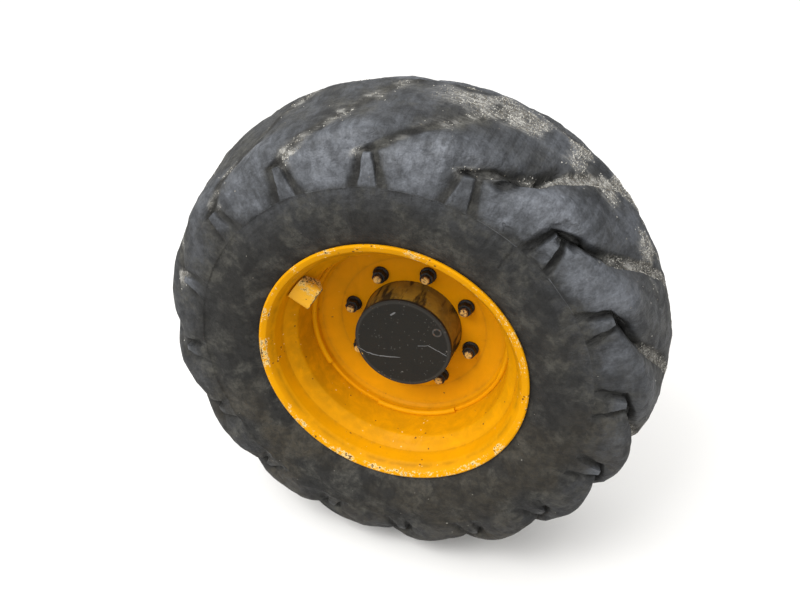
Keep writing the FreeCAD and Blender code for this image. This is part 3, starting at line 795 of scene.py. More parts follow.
def turned(name: str, outline: Outline, segments: int) -> bpy.types.Object:
    """Piece turned about the wheel's axis.

    Args:
        name: the object's name.
        outline: its outline.
        segments: divisions round the axis.

    Returns:
        The object.
    """
    rows = len(outline.points)
    angles = np.linspace(0, 2 * math.pi, segments, endpoint=False)
    radius, out = (np.repeat(outline.points[:, k:k + 1], segments, axis=1) for k in (0, 1))
    points = np.stack([radius * np.cos(angles), -out, radius * np.sin(angles)], axis=2).reshape(-1, 3)
    number = np.arange(rows * segments).reshape(rows, segments)
    pole = np.where(outline.points[:, 0] < 1e-9)[0]
    number[pole] = number[pole, :1]
    faces = [unrepeated(quad) for quad in quads(number, outline.closed, True)]
    used, points, faces = compact(points, [face for face in faces if len(face) > 2])
    masks = {mask: np.repeat(values, segments)[used]
             for mask, values in ((Mask.EDGE, outline.edge), (Mask.CREVICE, outline.crevice))}
    return mesh_object(name, points, faces, masks)


def unrepeated(quad: np.ndarray) -> list[int]:
    """The quad's point numbers without repeats beside each other."""
    return [int(quad[k]) for k in range(4) if quad[k] != quad[k - 1]]


def compact(points: np.ndarray, faces: list[list[int]]) -> tuple[np.ndarray, np.ndarray, list[list[int]]]:
    """Drops the points that no face uses.

    Args:
        points: all points.
        faces: faces that use some of them.

    Returns:
        Numbers of the points kept, the points kept, and the faces renumbered.
    """
    used = np.unique(np.concatenate([np.array(face) for face in faces]))
    fresh = np.full(len(points), -1)
    fresh[used] = np.arange(len(used))
    return used, points[used], [[int(fresh[i]) for i in face] for face in faces]


def vertex_places(mesh: bpy.types.Mesh) -> np.ndarray:
    """Places of a mesh's points."""
    places = np.empty(len(mesh.vertices) * 3, dtype=np.float32)
    mesh.vertices.foreach_get("co", places)
    return places.reshape(-1, 3).astype(float)


def move_points(mesh: bpy.types.Mesh, places: np.ndarray) -> None:
    """Puts a mesh's points at other places."""
    mesh.vertices.foreach_set("co", places.astype(np.float32).ravel())
    mesh.update()


def named_values(mesh: bpy.types.Mesh, name: str) -> np.ndarray:
    """Values that a mesh's points keep under a name."""
    values = np.zeros(len(mesh.vertices), dtype=np.float32)
    mesh.attributes[name].data.foreach_get("value", values)
    return values.astype(float)


def keep_values(mesh: bpy.types.Mesh, name: str, values: np.ndarray) -> None:
    """Keeps a value for each of a mesh's points under a name."""
    layer = mesh.attributes.get(name) or mesh.attributes.new(name, "FLOAT", "POINT")
    layer.data.foreach_set("value", values.astype(np.float32))


def lattice_noise(places: np.ndarray, size: float, seed: int) -> np.ndarray:
    """Smooth random values from -1 to 1.

    Args:
        places: where, in metres.
        size: how far across a feature is.
        seed: which pattern.

    Returns:
        One value for each place.
    """
    scaled = places / size + 37.0 * seed
    cell = np.floor(scaled).astype(np.int64)
    part = scaled - cell
    part = part * part * (3.0 - 2.0 * part)
    total = np.zeros(len(places))
    for corner in range(8):
        offset = np.array([(corner >> axis) & 1 for axis in range(3)])
        x, y, z = (cell + offset).T
        mixed = (x * 73856093) ^ (y * 19349663) ^ (z * 83492791) ^ (seed * 2654435761)
        mixed = (mixed ^ (mixed >> 13)) * 1274126177
        value = ((mixed ^ (mixed >> 16)) & 0xFFFF) / 32767.5 - 1.0
        total += value * np.prod(np.where(offset == 1, part, 1.0 - part), axis=1)
    return total


def noises(places: np.ndarray, *layers: tuple[float, float, int]) -> np.ndarray:
    """Sum of smooth random values, each layer with its weight, its size in millimetres and its seed."""
    return sum(weight * lattice_noise(places, size * MM, seed) for weight, size, seed in layers)


def rising(values: np.ndarray, low: object, high: object) -> np.ndarray:
    """Smooth step from 0 at low to 1 at high."""
    share = np.clip((values - low) / (high - low), 0.0, 1.0)
    return share * share * (3.0 - 2.0 * share)


def between(values: np.ndarray, low: float, full: float, ebb: float, end: float) -> np.ndarray:
    """Smooth step up from low to full, and down again from ebb to end."""
    return rising(values, low, full) * (1 - rising(values, ebb, end))


def hump(values: np.ndarray, centre: object, width: float) -> np.ndarray:
    """Bell that is 1 at its centre."""
    return np.exp(-((values - centre) / width) ** 2)


# Geometry Nodes


class Growth:
    """Geometry Nodes tree with named inputs, which makes a plain mesh of what repeats or follows a path."""

    def __init__(self, name: str, inputs: dict[str, object]) -> None:
        """Starts the tree.

        Args:
            name: the tree's name.
            inputs: its inputs besides the geometry and the material, and what each is at first.
        """
        self.group = bpy.data.node_groups.new(name, "GeometryNodeTree")
        self.tree = Tree(self.group)
        sockets = self.group.interface.new_socket
        sockets("Geometry", in_out="INPUT", socket_type="NodeSocketGeometry")
        self.names = add_inputs(self.group, inputs)
        material = sockets("Material", in_out="INPUT", socket_type="NodeSocketMaterial")
        self.names["Material"] = material.identifier
        sockets("Geometry", in_out="OUTPUT", socket_type="NodeSocketGeometry")
        self.given = self.tree.node("NodeGroupInput").outputs

    def finish(self, geometry: Socket) -> None:
        """Ends the tree: makes the copies real and gives them the material."""
        real = self.tree.node("GeometryNodeRealizeInstances", {0: geometry}).outputs[0]
        inputs = {"Geometry": real, "Material": self.given["Material"]}
        dressed = self.tree.node("GeometryNodeSetMaterial", inputs)
        self.tree.node("NodeGroupOutput", {0: dressed.outputs[0]})

    def run(self, source: bpy.types.Object, finish: Finish, **values: object) -> bpy.types.Object:
        """Runs the tree on an object and keeps the result as its plain mesh.

        Args:
            source: the object that the tree starts from.
            finish: what the result is dressed in.
            values: the tree's inputs by name.

        Returns:
            An object with the result, in the source's place. The source goes away.
        """
        modifier = source.modifiers.new("growth", "NODES")
        modifier.node_group = self.group
        for name, value in {**values, "Material": finish.material()}.items():
            modifier[self.names[name]] = value
        bpy.context.view_layer.update()
        graph = bpy.context.evaluated_depsgraph_get()
        mesh = bpy.data.meshes.new_from_object(source.evaluated_get(graph))
        name = source.name
        source.modifiers.remove(modifier)
        bpy.data.objects.remove(source)
        mesh.name = name
        smooth(mesh)
        return placed(name, mesh)


class Ring(Growth):
    """Copies of a piece evenly round the wheel's axis."""

    def __init__(self) -> None:
        """Lays the tree."""
        super().__init__("Ring", {"Count": 8, "Merge distance": 0.0})
        tree, given = self.tree, self.given
        spots = tree.node("GeometryNodeMeshLine", {"Count": given["Count"], "Offset": ORIGIN}).outputs[0]
        order = tree.node("GeometryNodeInputIndex").outputs[0]
        turn = tree.times(order, tree.maths("DIVIDE", -2 * math.pi, given["Count"]))
        angle = tree.node("ShaderNodeCombineXYZ", {"Y": turn}).outputs[0]
        rotation = tree.node("FunctionNodeEulerToRotation", {0: angle}).outputs[0]
        copies = tree.node("GeometryNodeInstanceOnPoints",
                           {"Points": spots, "Instance": given["Geometry"], "Rotation": rotation})
        real = tree.node("GeometryNodeRealizeInstances", {0: copies.outputs[0]}).outputs[0]
        merged = tree.node("GeometryNodeMergeByDistance",
                           {"Geometry": real, "Distance": given["Merge distance"]})
        self.finish(merged.outputs[0])


class Grit(Growth):
    """Crumbs scattered over a surface where its dust mask is high."""

    FULL_TURN = (6.28, 6.28, 6.28)

    def __init__(self) -> None:
        """Lays the tree."""
        super().__init__("Grit", {"Density": 4000.0, "Size": 0.003, "Seed": 3})
        tree, given = self.tree, self.given
        dust = tree.node("GeometryNodeInputNamedAttribute", {"Name": Mask.DUST_AND_SHADE.value}, data_type="FLOAT")
        dense = tree.times(tree.maths("POWER", dust.outputs[0], 2.0), given["Density"])
        scatter = tree.node("GeometryNodeDistributePointsOnFaces",
                            {"Mesh": given["Geometry"], "Density": dense, "Seed": given["Seed"]})
        crumb = tree.node("GeometryNodeMeshIcoSphere", {"Radius": given["Size"], "Subdivisions": 1})
        turn, size = (
            tree.node("FunctionNodeRandomValue", {**limits, "Seed": given["Seed"]}, data_type="FLOAT_VECTOR")
            for limits in ({"Max": self.FULL_TURN}, {"Min": (0.3, 0.3, 0.2), "Max": (1.0, 1.2, 0.7)}))
        rotation = tree.node("FunctionNodeEulerToRotation", {0: turn.outputs[0]}).outputs[0]
        copies = tree.node("GeometryNodeInstanceOnPoints",
                           {"Points": scatter.outputs["Points"], "Instance": crumb.outputs[0],
                            "Rotation": rotation, "Scale": size.outputs[0]})
        self.finish(copies.outputs[0])


class Bead(Growth):
    """Rippled weld bead along a curve."""

    STEP = 1.6 * MM

    def __init__(self) -> None:
        """Lays the tree."""
        super().__init__("Weld bead", {"Radius": 0.005, "Ripple": 0.005, "Ripple depth": 0.12})
        tree, given = self.tree, self.given
        path = tree.node("GeometryNodeResampleCurve", {"Curve": given["Geometry"], "Length": self.STEP},
                         mode="LENGTH")
        along = tree.node("GeometryNodeSplineParameter").outputs["Length"]
        turn = tree.maths("DIVIDE", tree.times(along, 2 * math.pi), given["Ripple"])
        noise = tree.node("ShaderNodeTexNoise", {"Scale": 90.0, "Detail": 2.0}).outputs[0]
        wave = tree.maths("ABSOLUTE", tree.maths("SINE", turn))
        ripple = tree.times(wave, given["Ripple depth"], tree.times(noise, 0.5, 0.75))
        shaped = tree.node("GeometryNodeSetCurveRadius", {"Curve": path.outputs[0], "Radius": ripple})
        section = tree.node("GeometryNodeCurvePrimitiveCircle", {"Resolution": 10, "Radius": given["Radius"]})
        tube = tree.node("GeometryNodeCurveToMesh",
                         {"Curve": shaped.outputs[0], "Profile Curve": section.outputs[0], "Fill Caps": True})
        self.finish(tube.outputs[0])


# The wheel end's pieces


@dataclass
class Part:
    """Something that gets a finish, a body and the CAD nodes that it stands for."""

    def settle(self, made: bpy.types.Object, finish: Finish, body: Body, *nodes: str) -> None:
        """Dresses a finished piece and ties it to the frame.

        Args:
            made: the piece.
            finish: its finish.
            body: the body that it rides on.
            nodes: CAD nodes that it replaces.
        """
        made.data.materials.clear()
        made.data.materials.append(finish.material())
        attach(made, body.value)
        if nodes:
            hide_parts(*nodes)
        log.info("%s: %d faces, rides on %s", made.name, len(made.data.polygons), body.value)

    def carry(self, node: str, finish: Finish) -> None:
        """Gives a CAD node that stays its finish.

        Args:
            node: the node's name.
            finish: its finish.
        """
        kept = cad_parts[node]
        kept.data.materials.clear()
        kept.data.materials.append(finish.material())
        log.info("%s: CAD node dressed in %s", node, finish.name)


@dataclass
class Tyre(Part):
    """Worn lug tyre.

    One pitch of its skin is repeated round the axle as a plain grid whose columns follow the tread. Each
    point knows where it stands in the tread, and carving then cuts the gaps, rounds the lugs and tears them.
    """

    centre: float = 0.300          # flange face to the wheel's centre plane
    lugs: int = 16
    first_gap: float = 96.65       # angle of a gap between two outboard lugs
    foot_r: float = 0.398          # where the lugs start on the side
    foot_step: float = 2.6 * MM
    gap_foot: float = 39.0 * MM    # half widths of the gap, along the circumference
    gap_apex: float = 19.0 * MM
    gap_crown: float = 14.0 * MM
    apex_r: float = 0.462          # where the gap ends and the crown groove starts to lean
    shoulder_r: float = 0.499
    wedge_foot: float = 17.5 * MM
    wedge_tip: float = 7.0 * MM
    wedge_r: float = 0.458
    lean: float = 50.0             # of the crown grooves, from the axle's direction
    hook: float = 24.0 * MM        # how far a crown groove turns aside at its start
    half_columns: int = 18         # in half a pitch
    outermost: float = 0.5358      # radius that no lump passes
    # Outer surface: radius and distance from the centre plane, from the rim to the middle of the crown
    envelope: tuple[tuple[float, float], ...] = (
        (0.2855, 0.1750), (0.300, 0.1835), (0.318, 0.1905), (0.355, 0.1985), (0.398, 0.2010),
        (0.430, 0.1975), (0.455, 0.1920), (0.478, 0.1810), (0.493, 0.1680), (0.502, 0.1480),
        (0.509, 0.1200), (0.517, 0.0880), (0.526, 0.0540), (0.533, 0.0240), (0.5355, 0.0),
    )
    # Bead and casing, from the rim's lip to the middle of the casing
    inside: tuple[tuple[float, float], ...] = (
        (0.2810, 0.1727), (0.2693, 0.1692), (0.2603, 0.1580), (0.2568, 0.1280), (0.2860, 0.1480),
        (0.3350, 0.1750), (0.3980, 0.1780), (0.4260, 0.1580), (0.4450, 0.1300), (0.4850, 0.0400),
    )
    # Torn crevices, as points that each runs through
    tears: tuple[tuple[Triple, ...], ...] = (
        ((0.115, -0.482, 0.447), (0.150, -0.482, 0.430), (0.183, -0.486, 0.429), (0.204, -0.475, 0.442),
         (0.239, -0.438, 0.443), (0.266, -0.387, 0.442)),
        ((0.283, -0.488, 0.357), (0.309, -0.484, 0.342), (0.349, -0.475, 0.340), (0.383, -0.447, 0.323)),
        ((0.408, -0.485, 0.209), (0.447, -0.477, 0.182), (0.470, -0.450, 0.165)),
    )
    # Painted highlights: places where the lug faces are painted paler, and how far each reaches
    highlight_spots: tuple[tuple[Triple, float], ...] = (
        ((0.388, -0.484, 0.236), 26 * MM), ((0.300, -0.470, 0.385), 40 * MM),
        ((0.060, -0.470, 0.470), 34 * MM),
    )

    def __post_init__(self) -> None:
        """Cuts the envelope finely and finds the tread's landmarks along it."""
        knots = np.array(self.envelope)
        knots = np.vstack([2 * knots[0] - knots[1], knots, knots[-2] * (1.0, -1.0)])
        share = np.linspace(0, 1, 24, endpoint=False)[:, None]
        fine = []
        for p0, p1, p2, p3 in zip(knots, knots[1:], knots[2:], knots[3:]):
            fine.append(0.5 * (2 * p1 + (p2 - p0) * share + (2 * p0 - 5 * p1 + 4 * p2 - p3) * share ** 2
                               + (3 * p1 - p0 - 3 * p2 + p3) * share ** 3))
        line = np.vstack([*fine, knots[-2:-1]])
        self.run = np.concatenate([[0], np.cumsum(np.linalg.norm(np.diff(line, axis=0), axis=1))])
        slope = np.gradient(line, self.run, axis=0)
        self.radius, self.across = line.T
        self.tilt = np.arctan2(slope[:, 0], -slope[:, 1])
        self.foot, self.wedge_end, self.apex, self.shoulder = (
            float(np.interp(radius, self.radius, self.run))
            for radius in (self.foot_r, self.wedge_r, self.apex_r, self.shoulder_r))
        self.middle = float(self.run[-1])

    def rows(self, coarse: float) -> np.ndarray:
        """Lengths along the envelope at which the mesh has a row, from the rim to the centre plane.

        Args:
            coarse: how many times wider than the outboard side's the spacing is.

        Returns:
            The lengths.
        """
        foot, tip = self.foot, self.wedge_end
        return np.concatenate([
            np.linspace(0, foot - 6 * MM, round(13 / coarse)),
            foot + np.array([-3.0, -1.2, 0.0, 1.6, 4.0]) * MM,
            np.arange(foot + 8.5 * MM, tip - 4 * MM, 4.8 * MM * coarse),
            tip + np.array([-3.0, -0.8, 1.0, 3.5]) * MM,
            np.arange(tip + 7.5 * MM, self.middle - 3 * MM, 4.3 * MM * coarse),
            [self.middle],
        ])

    def columns(self, gap: float, wedge: float, half_pitch: float, even: float) -> np.ndarray:
        """Places across one pitch, from one lug's centre over the gap to the next lug's.

        Args:
            gap: half width of the gap.
            wedge: half width of the wedge in it.
            half_pitch: half the pitch.
            even: 0 where the columns follow the gap's edges, 1 where they are spaced evenly.

        Returns:
            Distances from the gap's centre line, along the circumference.
        """
        near = [0.0, 0.55 * wedge, wedge - 1.0 * MM, wedge + 0.8 * MM, wedge + 3.2 * MM]
        edge = [gap + offset * MM for offset in (-4.2, -1.6, 0.6, 3.2, 8.0)]
        middle = [0.5 * (near[-1] + edge[0])]
        rest = self.half_columns + 1 - len(near) - len(middle) - len(edge)
        lug = np.linspace(edge[-1], half_pitch, rest + 1)[1:]
        side = np.maximum.accumulate(np.concatenate([near, middle, edge, lug]))
        side += np.arange(len(side)) * 0.02 * MM
        side *= half_pitch / side[-1]
        side = side * (1 - even) + np.linspace(0, half_pitch, self.half_columns + 1) * even
        return np.concatenate([-side[:0:-1], side])

    def pitch(self) -> bpy.types.Object:
        """Plain grid of one pitch: outer skin of both halves, bead and casing."""
        rings: list[np.ndarray] = []
        facts: Facts = {"along": [], "off": [], "gap": [], "wedge": []}
        for side, coarse in ((1, 1.0), (-1, 1.3)):
            lengths = self.rows(coarse) if side > 0 else self.rows(coarse)[::-1][1:]
            for length in lengths:
                self.skin_ring(side, length, rings, facts)
        self.line_inside(rings, facts)
        number = np.arange(len(rings) * len(rings[0])).reshape(len(rings), -1)
        made = mesh_object("tyre", np.concatenate(rings), quads(number, close_rows=True))
        for name, values in facts.items():
            keep_values(made.data, name, np.concatenate(values))
        return made

    def skin_ring(self, side: int, length: float, rings: list[np.ndarray], facts: Facts) -> None:
        """Adds one row of the outer skin.

        Args:
            side: 1 on the outboard half, -1 on the inboard one.
            length: how far along the envelope it is.
            rings: the rows so far.
            facts: what each point knows about its place.
        """
        span = 2 * math.pi / self.lugs
        radius = float(np.interp(length, self.run, self.radius))
        out = self.centre + side * float(np.interp(length, self.run, self.across))
        ruler = max(radius, self.foot_r)
        gap = float(np.interp(length, [self.foot, self.apex, self.middle],
                              [self.gap_foot, self.gap_apex, self.gap_crown]))
        wedge = float(np.interp(length, [self.foot, self.wedge_end], [self.wedge_foot, self.wedge_tip]))
        wedge = wedge if length <= self.wedge_end else min(wedge, 0.45 * gap)
        even = float(rising(np.array(length), self.middle - 70 * MM, self.middle - 4 * MM))
        places = self.columns(gap, wedge, ruler * span / 2, even)
        past = max(0.0, length - self.apex)
        aside = past * math.tan(math.radians(self.lean)) + self.hook * (1 - math.exp(-past / (20 * MM)))
        turn, off = places / ruler, np.abs(places)
        if side < 0:
            turn, off = self.staggered(turn, off, span)
        rings.append(self.ring(radius, out, math.radians(self.first_gap) - 0.93 * aside / ruler + turn))
        for name, value in (("along", side * (length - self.middle)), ("off", off), ("gap", gap),
                            ("wedge", wedge)):
            facts[name].append(np.broadcast_to(value, turn.shape))

    def ring(self, radius: float, out: float, angle: np.ndarray) -> np.ndarray:
        """Places at one radius and distance out, for a row of angles."""
        return np.column_stack([radius * np.cos(angle), np.full_like(angle, -out), radius * np.sin(angle)])

    def line_inside(self, rings: list[np.ndarray], facts: Facts) -> None:
        """Adds the rings of the far bead, the casing and the near bead.

        Args:
            rings: the skin's rings, from the near bead to the far one.
            facts: what each point knows about its place.
        """
        not_skin = 9.0
        path = [(radius, -across) for radius, across in self.inside] + list(self.inside)[::-1]
        last, first = (np.arctan2(ring[:, 2], ring[:, 0]) for ring in (rings[-1], rings[0]))
        back = np.angle(np.exp(1j * (first - last)))
        for k, (radius, across) in enumerate(path, start=1):
            angle = last + back * k / (len(path) + 1)
            rings.append(self.ring(radius, self.centre + across, angle))
            for name, values in facts.items():
                values.append(np.full(len(angle), not_skin if name == "along" else 0.0))

    def staggered(self, turn: np.ndarray, off: np.ndarray, span: float) -> tuple[np.ndarray, np.ndarray]:
        """Moves the inboard half's gaps by half a pitch while its columns meet the outboard half's.

        Args:
            turn: angles of the columns from the gap's centre line.
            off: their distances from it.
            span: angle of one pitch.

        Returns:
            The same two, in the order of the outboard columns.
        """
        half = self.half_columns
        order = np.array([(k + half) % (2 * half) for k in range(2 * half + 1)])
        moved = turn[order] + span * np.where(np.arange(2 * half + 1) <= half, -0.5, 0.5)
        moved[0] = turn[half] - span / 2
        moved[half] = turn[0] + span / 2
        return moved, off[order]

    def carve(self, made: bpy.types.Object) -> None:
        """Cuts the tread into the plain skin, wears it so that no two lugs are alike, and dusts it.

        Args:
            made: the whole skin.
        """
        mesh = made.data
        places = vertex_places(mesh)
        along, off, gap, wedge = (named_values(mesh, name) for name in ("along", "off", "gap", "wedge"))
        outer = np.abs(along) < 1.0
        near = along <= 0
        length = np.where(outer, self.middle - np.abs(along), 0.0)
        radius = np.hypot(places[:, 0], places[:, 2])
        angle = np.arctan2(places[:, 2], places[:, 0])
        degrees = np.degrees(angle) % 360
        ruler = np.maximum(radius, self.foot_r)
        half_pitch = math.pi * ruler / self.lugs
        foot, apex, shoulder, middle = self.foot, self.apex, self.shoulder, self.middle

        # How worn the tread is round the wheel: shut at the top, packed with mud at the bottom
        shut = between(degrees, 62, 86, 165, 195) * near
        packed = between(degrees, 178, 215, 325, 350)
        flush = between(degrees, 60, 66, 82, 88) * near
        on_crown = rising(length, shoulder - 4 * MM, shoulder + 50 * MM)
        past_foot = rising(length, foot - 1.5 * MM, foot + 1.0 * MM)
        past_apex = rising(length, apex - 4 * MM, apex + 8 * MM)

        # The gap's depth and walls, and the wedge that stands in it
        legs = np.interp(length, [foot - 3 * MM, foot + 2 * MM, foot + 18 * MM, apex],
                         [0.0, 2.5 * MM, 8.0 * MM, 13.0 * MM]) * (1 - 0.40 * shut - 0.45 * flush)
        groove = np.interp(length, [apex, shoulder, shoulder + 60 * MM, middle - 45 * MM, middle - 10 * MM],
                           np.array([16.0, 18.0, 11.0, 6.0, 0.0]) * MM)
        groove = groove * (1 - shut * np.interp(length, [apex - 2 * MM, apex + 14 * MM], [0.70, 1.0]))
        groove = groove * (1 + 0.7 * packed * (1 - on_crown))
        depth = legs * (1 - past_apex) + groove * past_apex
        crisp = rising(off, gap - 6.5 * MM, gap + 3.0 * MM)
        soft = rising(off, gap - 14 * MM, gap + 12 * MM)
        eased = np.maximum(0.30 * packed, 0.6 * shut)
        wall = crisp * (1 - eased) + soft * eased
        in_wedge = past_foot * (1 - rising(length, self.wedge_end - 1 * MM, self.wedge_end + 3 * MM))
        block = (1 - rising(off, wedge - 1.2 * MM, wedge + 3.2 * MM)) * in_wedge * (1 - 0.45 * packed)
        height = -depth * (1 - wall) * (1 - block) - 1.6 * MM * block

        # How far a lug falls away toward its gaps, and the step at its foot
        swell = np.interp(length, [foot, foot + 40 * MM, shoulder - 12 * MM, shoulder + 28 * MM,
                                   shoulder + 80 * MM, middle - 20 * MM], [0.05, 0.35, 1.0, 1.0, 0.4, 0.1])
        fall = 5.0 * MM * shut + (1 - shut) * (19.0 * MM + 4.0 * MM * packed)
        from_edge = np.clip((off - gap) / (half_pitch - gap), 0.0, 1.0)
        height -= fall * swell * (1 - from_edge) ** 2.2 * (1 - block)
        below = 1 - rising(length, foot - 2.5 * MM, foot + 0.8 * MM)
        height -= self.foot_step * below * rising(length, foot - 60 * MM, foot - 10 * MM)

        # Lumps, tears and scabs
        tread = outer * rising(length, foot - 45 * MM, foot - 5 * MM)
        lumps = noises(places, (3.2, 95, 3), (2.3, 38, 4), (1.2, 15, 5), (0.6, 7, 7))
        height += tread * (lumps - 4.0) * MM
        torn = self.torn(places)
        height -= 17.0 * MM * torn * outer
        scab = rising(noises(places, (1.0, 30, 9), (0.5, 11, 10)), 0.35, 0.6)
        height -= 1.3 * MM * scab * tread * (0.4 + 0.6 * on_crown)
        angle = angle + tread * past_foot * noises(places, (3.6, 34, 1), (1.8, 13, 2)) * MM / ruler

        tilt = np.interp(length, self.run, self.tilt)
        height = np.where(outer, height, 0.0)
        reach = np.where(outer, np.minimum(radius + height * np.cos(tilt), self.outermost), radius)
        deep = places[:, 1] - np.where(near, 1.0, -1.0) * height * np.sin(tilt)
        places = np.column_stack([reach * np.cos(angle), deep, reach * np.sin(angle)])
        move_points(mesh, places)

        # What the rubber's finish reads: worn edges with painted highlight, lug faces with painted highlight
        # and shade, painted shade in the depths, dust and mud
        in_gap = (1 - wall) * (1 - block) * past_foot
        # Pale lines along the gap edges, the wedges and the lug feet: partly worn edges, partly painted
        # highlight
        lips = hump(off, gap + 1.5 * MM, 2.5 * MM) * (length > foot) * (1 - on_crown)
        lips += 0.8 * hump(off, wedge, 1.8 * MM) * in_wedge
        foot_line = hump(length, foot, 1.6 * MM) * np.maximum(crisp, block)
        foot_line += 0.7 * hump(length, foot - 11 * MM, 1.4 * MM)
        # How pale the lug faces are round the wheel, palest at the top: partly worn rubber, partly painted
        # light from above
        paleness = np.interp(degrees, [0, 25, 50, 78, 122, 150, 190, 215, 330, 360],
                           [0.42, 0.80, 1.0, 1.0, 1.0, 0.36, 0.24, 0.20, 0.22, 0.42])
        fade = np.interp(degrees, [0, 45, 80, 125, 150, 360], [46, 34, 4, 4, 40, 46]) * MM
        upper = rising(length, foot - 15 * MM, foot + 9 * MM + fade)
        tips = 0.30 + 0.60 * rising(length, foot + 12 * MM, self.wedge_end - 6 * MM)
        # Painted highlight and shade on each lug: palest in its middle, darker toward its gaps, with painted
        # highlights at the listed spots
        lug_highlight_and_shade = 1 - 0.42 * (1 - from_edge) ** 1.6 * (1 - block)
        for spot, size in self.highlight_spots:
            lug_highlight_and_shade = lug_highlight_and_shade + 0.8 * hump(np.linalg.norm(places - np.array(spot), axis=1), 0.0, size)
        by_foot = 0.45 * np.exp(-np.maximum(foot - length, 0.0) / (30 * MM)) * np.clip(paleness - 0.2, 0.05, 1)
        dusty_start = np.interp(degrees, [0, 60, 85, 160, 200], [70, 60, 12, 12, 60]) * MM
        in_dust = in_gap * rising(length, apex + dusty_start, apex + dusty_start + 30 * MM) * (1 - shut)
        stripe = between(degrees, 14, 32, 72, 92) * between(along, -80 * MM, -42 * MM, 10 * MM, 50 * MM)
        patch = rising(noises(places, (1.0, 48, 6), (0.4, 17, 8)), -0.35, 0.45)
        crusty = shut * rising(noises(places, (1.0, 40, 12), (0.6, 13, 14)), -0.25, 0.4)
        crust = crusty * hump(length, apex + 6 * MM, 15 * MM) * (1 - block)
        crust = crust * (1 - rising(off, gap + 6 * MM, gap + 18 * MM))
        bands = crusty * rising(length, apex + 4 * MM, apex + 30 * MM) * hump(off, gap * 0.4, 15 * MM)
        muddy = np.interp(degrees, [0, 40, 190, 220, 265, 345, 360], [0.45, 0.1, 0.05, 0.9, 0.5, 0.6, 0.45])
        lugs = np.maximum(wall * paleness * lug_highlight_and_shade, 0.85 * block * np.maximum(paleness, tips))
        # Painted shade in the gaps, grooves and tears, left out where the gaps are filled or dusty
        hidden = (1 - in_dust) * (1 - 0.55 * shut - 0.25 * flush) * (1 - shut * past_apex)
        dust = 0.9 * in_dust + 1.5 * stripe * patch + crust + 0.55 * bands + 0.07 * on_crown * patch
        masks = {
            # The lug faces painted darker on the crown: painted shade from the machine above the wheel
            Mask.FACE: np.maximum(upper * lugs * (1 - 0.62 * on_crown * (0.45 + 0.55 * shut)),
                                  by_foot * (length < foot)),
            Mask.DEEP_SHADE: np.clip(in_gap * hidden + torn, 0, 1),
            Mask.EDGE: np.clip((0.45 * lips + foot_line * np.clip(paleness, 0.1, 1) ** 2)
                               * (1 - 0.8 * packed), 0, 1),
            Mask.DUST_AND_SHADE: np.clip(dust, 0, 1) * (1 - 0.8 * torn),
            Mask.MUD: muddy * rising(noises(places, (1.0, 80, 15), (0.5, 27, 16)), -0.45, 0.5),
        }
        for mask, values in masks.items():
            keep_values(mesh, mask.value, values * outer)
        for name in ("along", "off", "gap", "wedge"):
            mesh.attributes.remove(mesh.attributes[name])
        mesh.update()
        smooth(mesh, 62.0)

    def torn(self, places: np.ndarray) -> np.ndarray:
        """How deep in a torn crevice each place is, from 0 to 1."""
        nearest = np.full(len(places), 1.0)
        for path in self.tears:
            for start, end in zip(path, path[1:]):
                first, line = np.array(start), np.array(end) - np.array(start)
                share = np.clip((places - first) @ line / (line @ line), 0, 1)
                gap = np.linalg.norm(places - first - share[:, None] * line, axis=1)
                nearest = np.minimum(nearest, gap)
        return 1 - rising(nearest + 5.0 * MM * lattice_noise(places, 13 * MM, 11), 3.0 * MM, 11.5 * MM)

    def build(self) -> None:
        """Makes the tyre and the grit in its tread."""
        split = (0.221, -0.500, 0.334)
        cracks = (
            (split, (0.248, -0.488, 0.372), 1.6 * MM), (split, (0.211, -0.500, 0.319), 1.8 * MM),
            ((0.201, -0.498, 0.304), split, 1.4 * MM), (split, (0.260, -0.492, 0.345), 1.2 * MM),
            ((0.223, -0.496, 0.353), (0.227, -0.500, 0.311), 1.5 * MM),
            ((0.150, -0.482, 0.428), (0.144, -0.495, 0.406), 1.3 * MM),
        )
        # Creases round the star crack, which the rubber darkens as painted shade
        star = (0.220, -0.497, 0.331)
        folds = tuple((start, end, wide * MM) for start, end, wide in (
            (star, (0.192, -0.498, 0.370), 11.0), (star, (0.260, -0.494, 0.296), 13.0),
            (star, (0.286, -0.474, 0.379), 13.0), (star, (0.194, -0.499, 0.290), 11.0),
            (star, (0.278, -0.488, 0.319), 11.0), ((0.287, -0.474, 0.379), (0.313, -0.465, 0.366), 10.0),
        ))
        rubber = Rubber("Weathered rubber", Slot.TYRE, (0.044, 0.048, 0.054), cracks=cracks, folds=folds,
                        bump=0.9, relief=1.6 * MM, specular=0.28)
        whole = RING.run(self.pitch(), rubber, Count=self.lugs, **{"Merge distance": 0.06 * MM})
        self.carve(whole)
        crumbs = placed("tread_grit", whole.data.copy())
        stone = Stone("Grit", Slot.TYRE, (0.50, 0.485, 0.44), rough=0.85)
        crumbs = GRIT.run(crumbs, stone, Density=80000.0, Size=1.8 * MM, Seed=5)
        self.settle(whole, rubber, Body.WHEEL, "tyre")
        self.settle(crumbs, stone, Body.WHEEL)


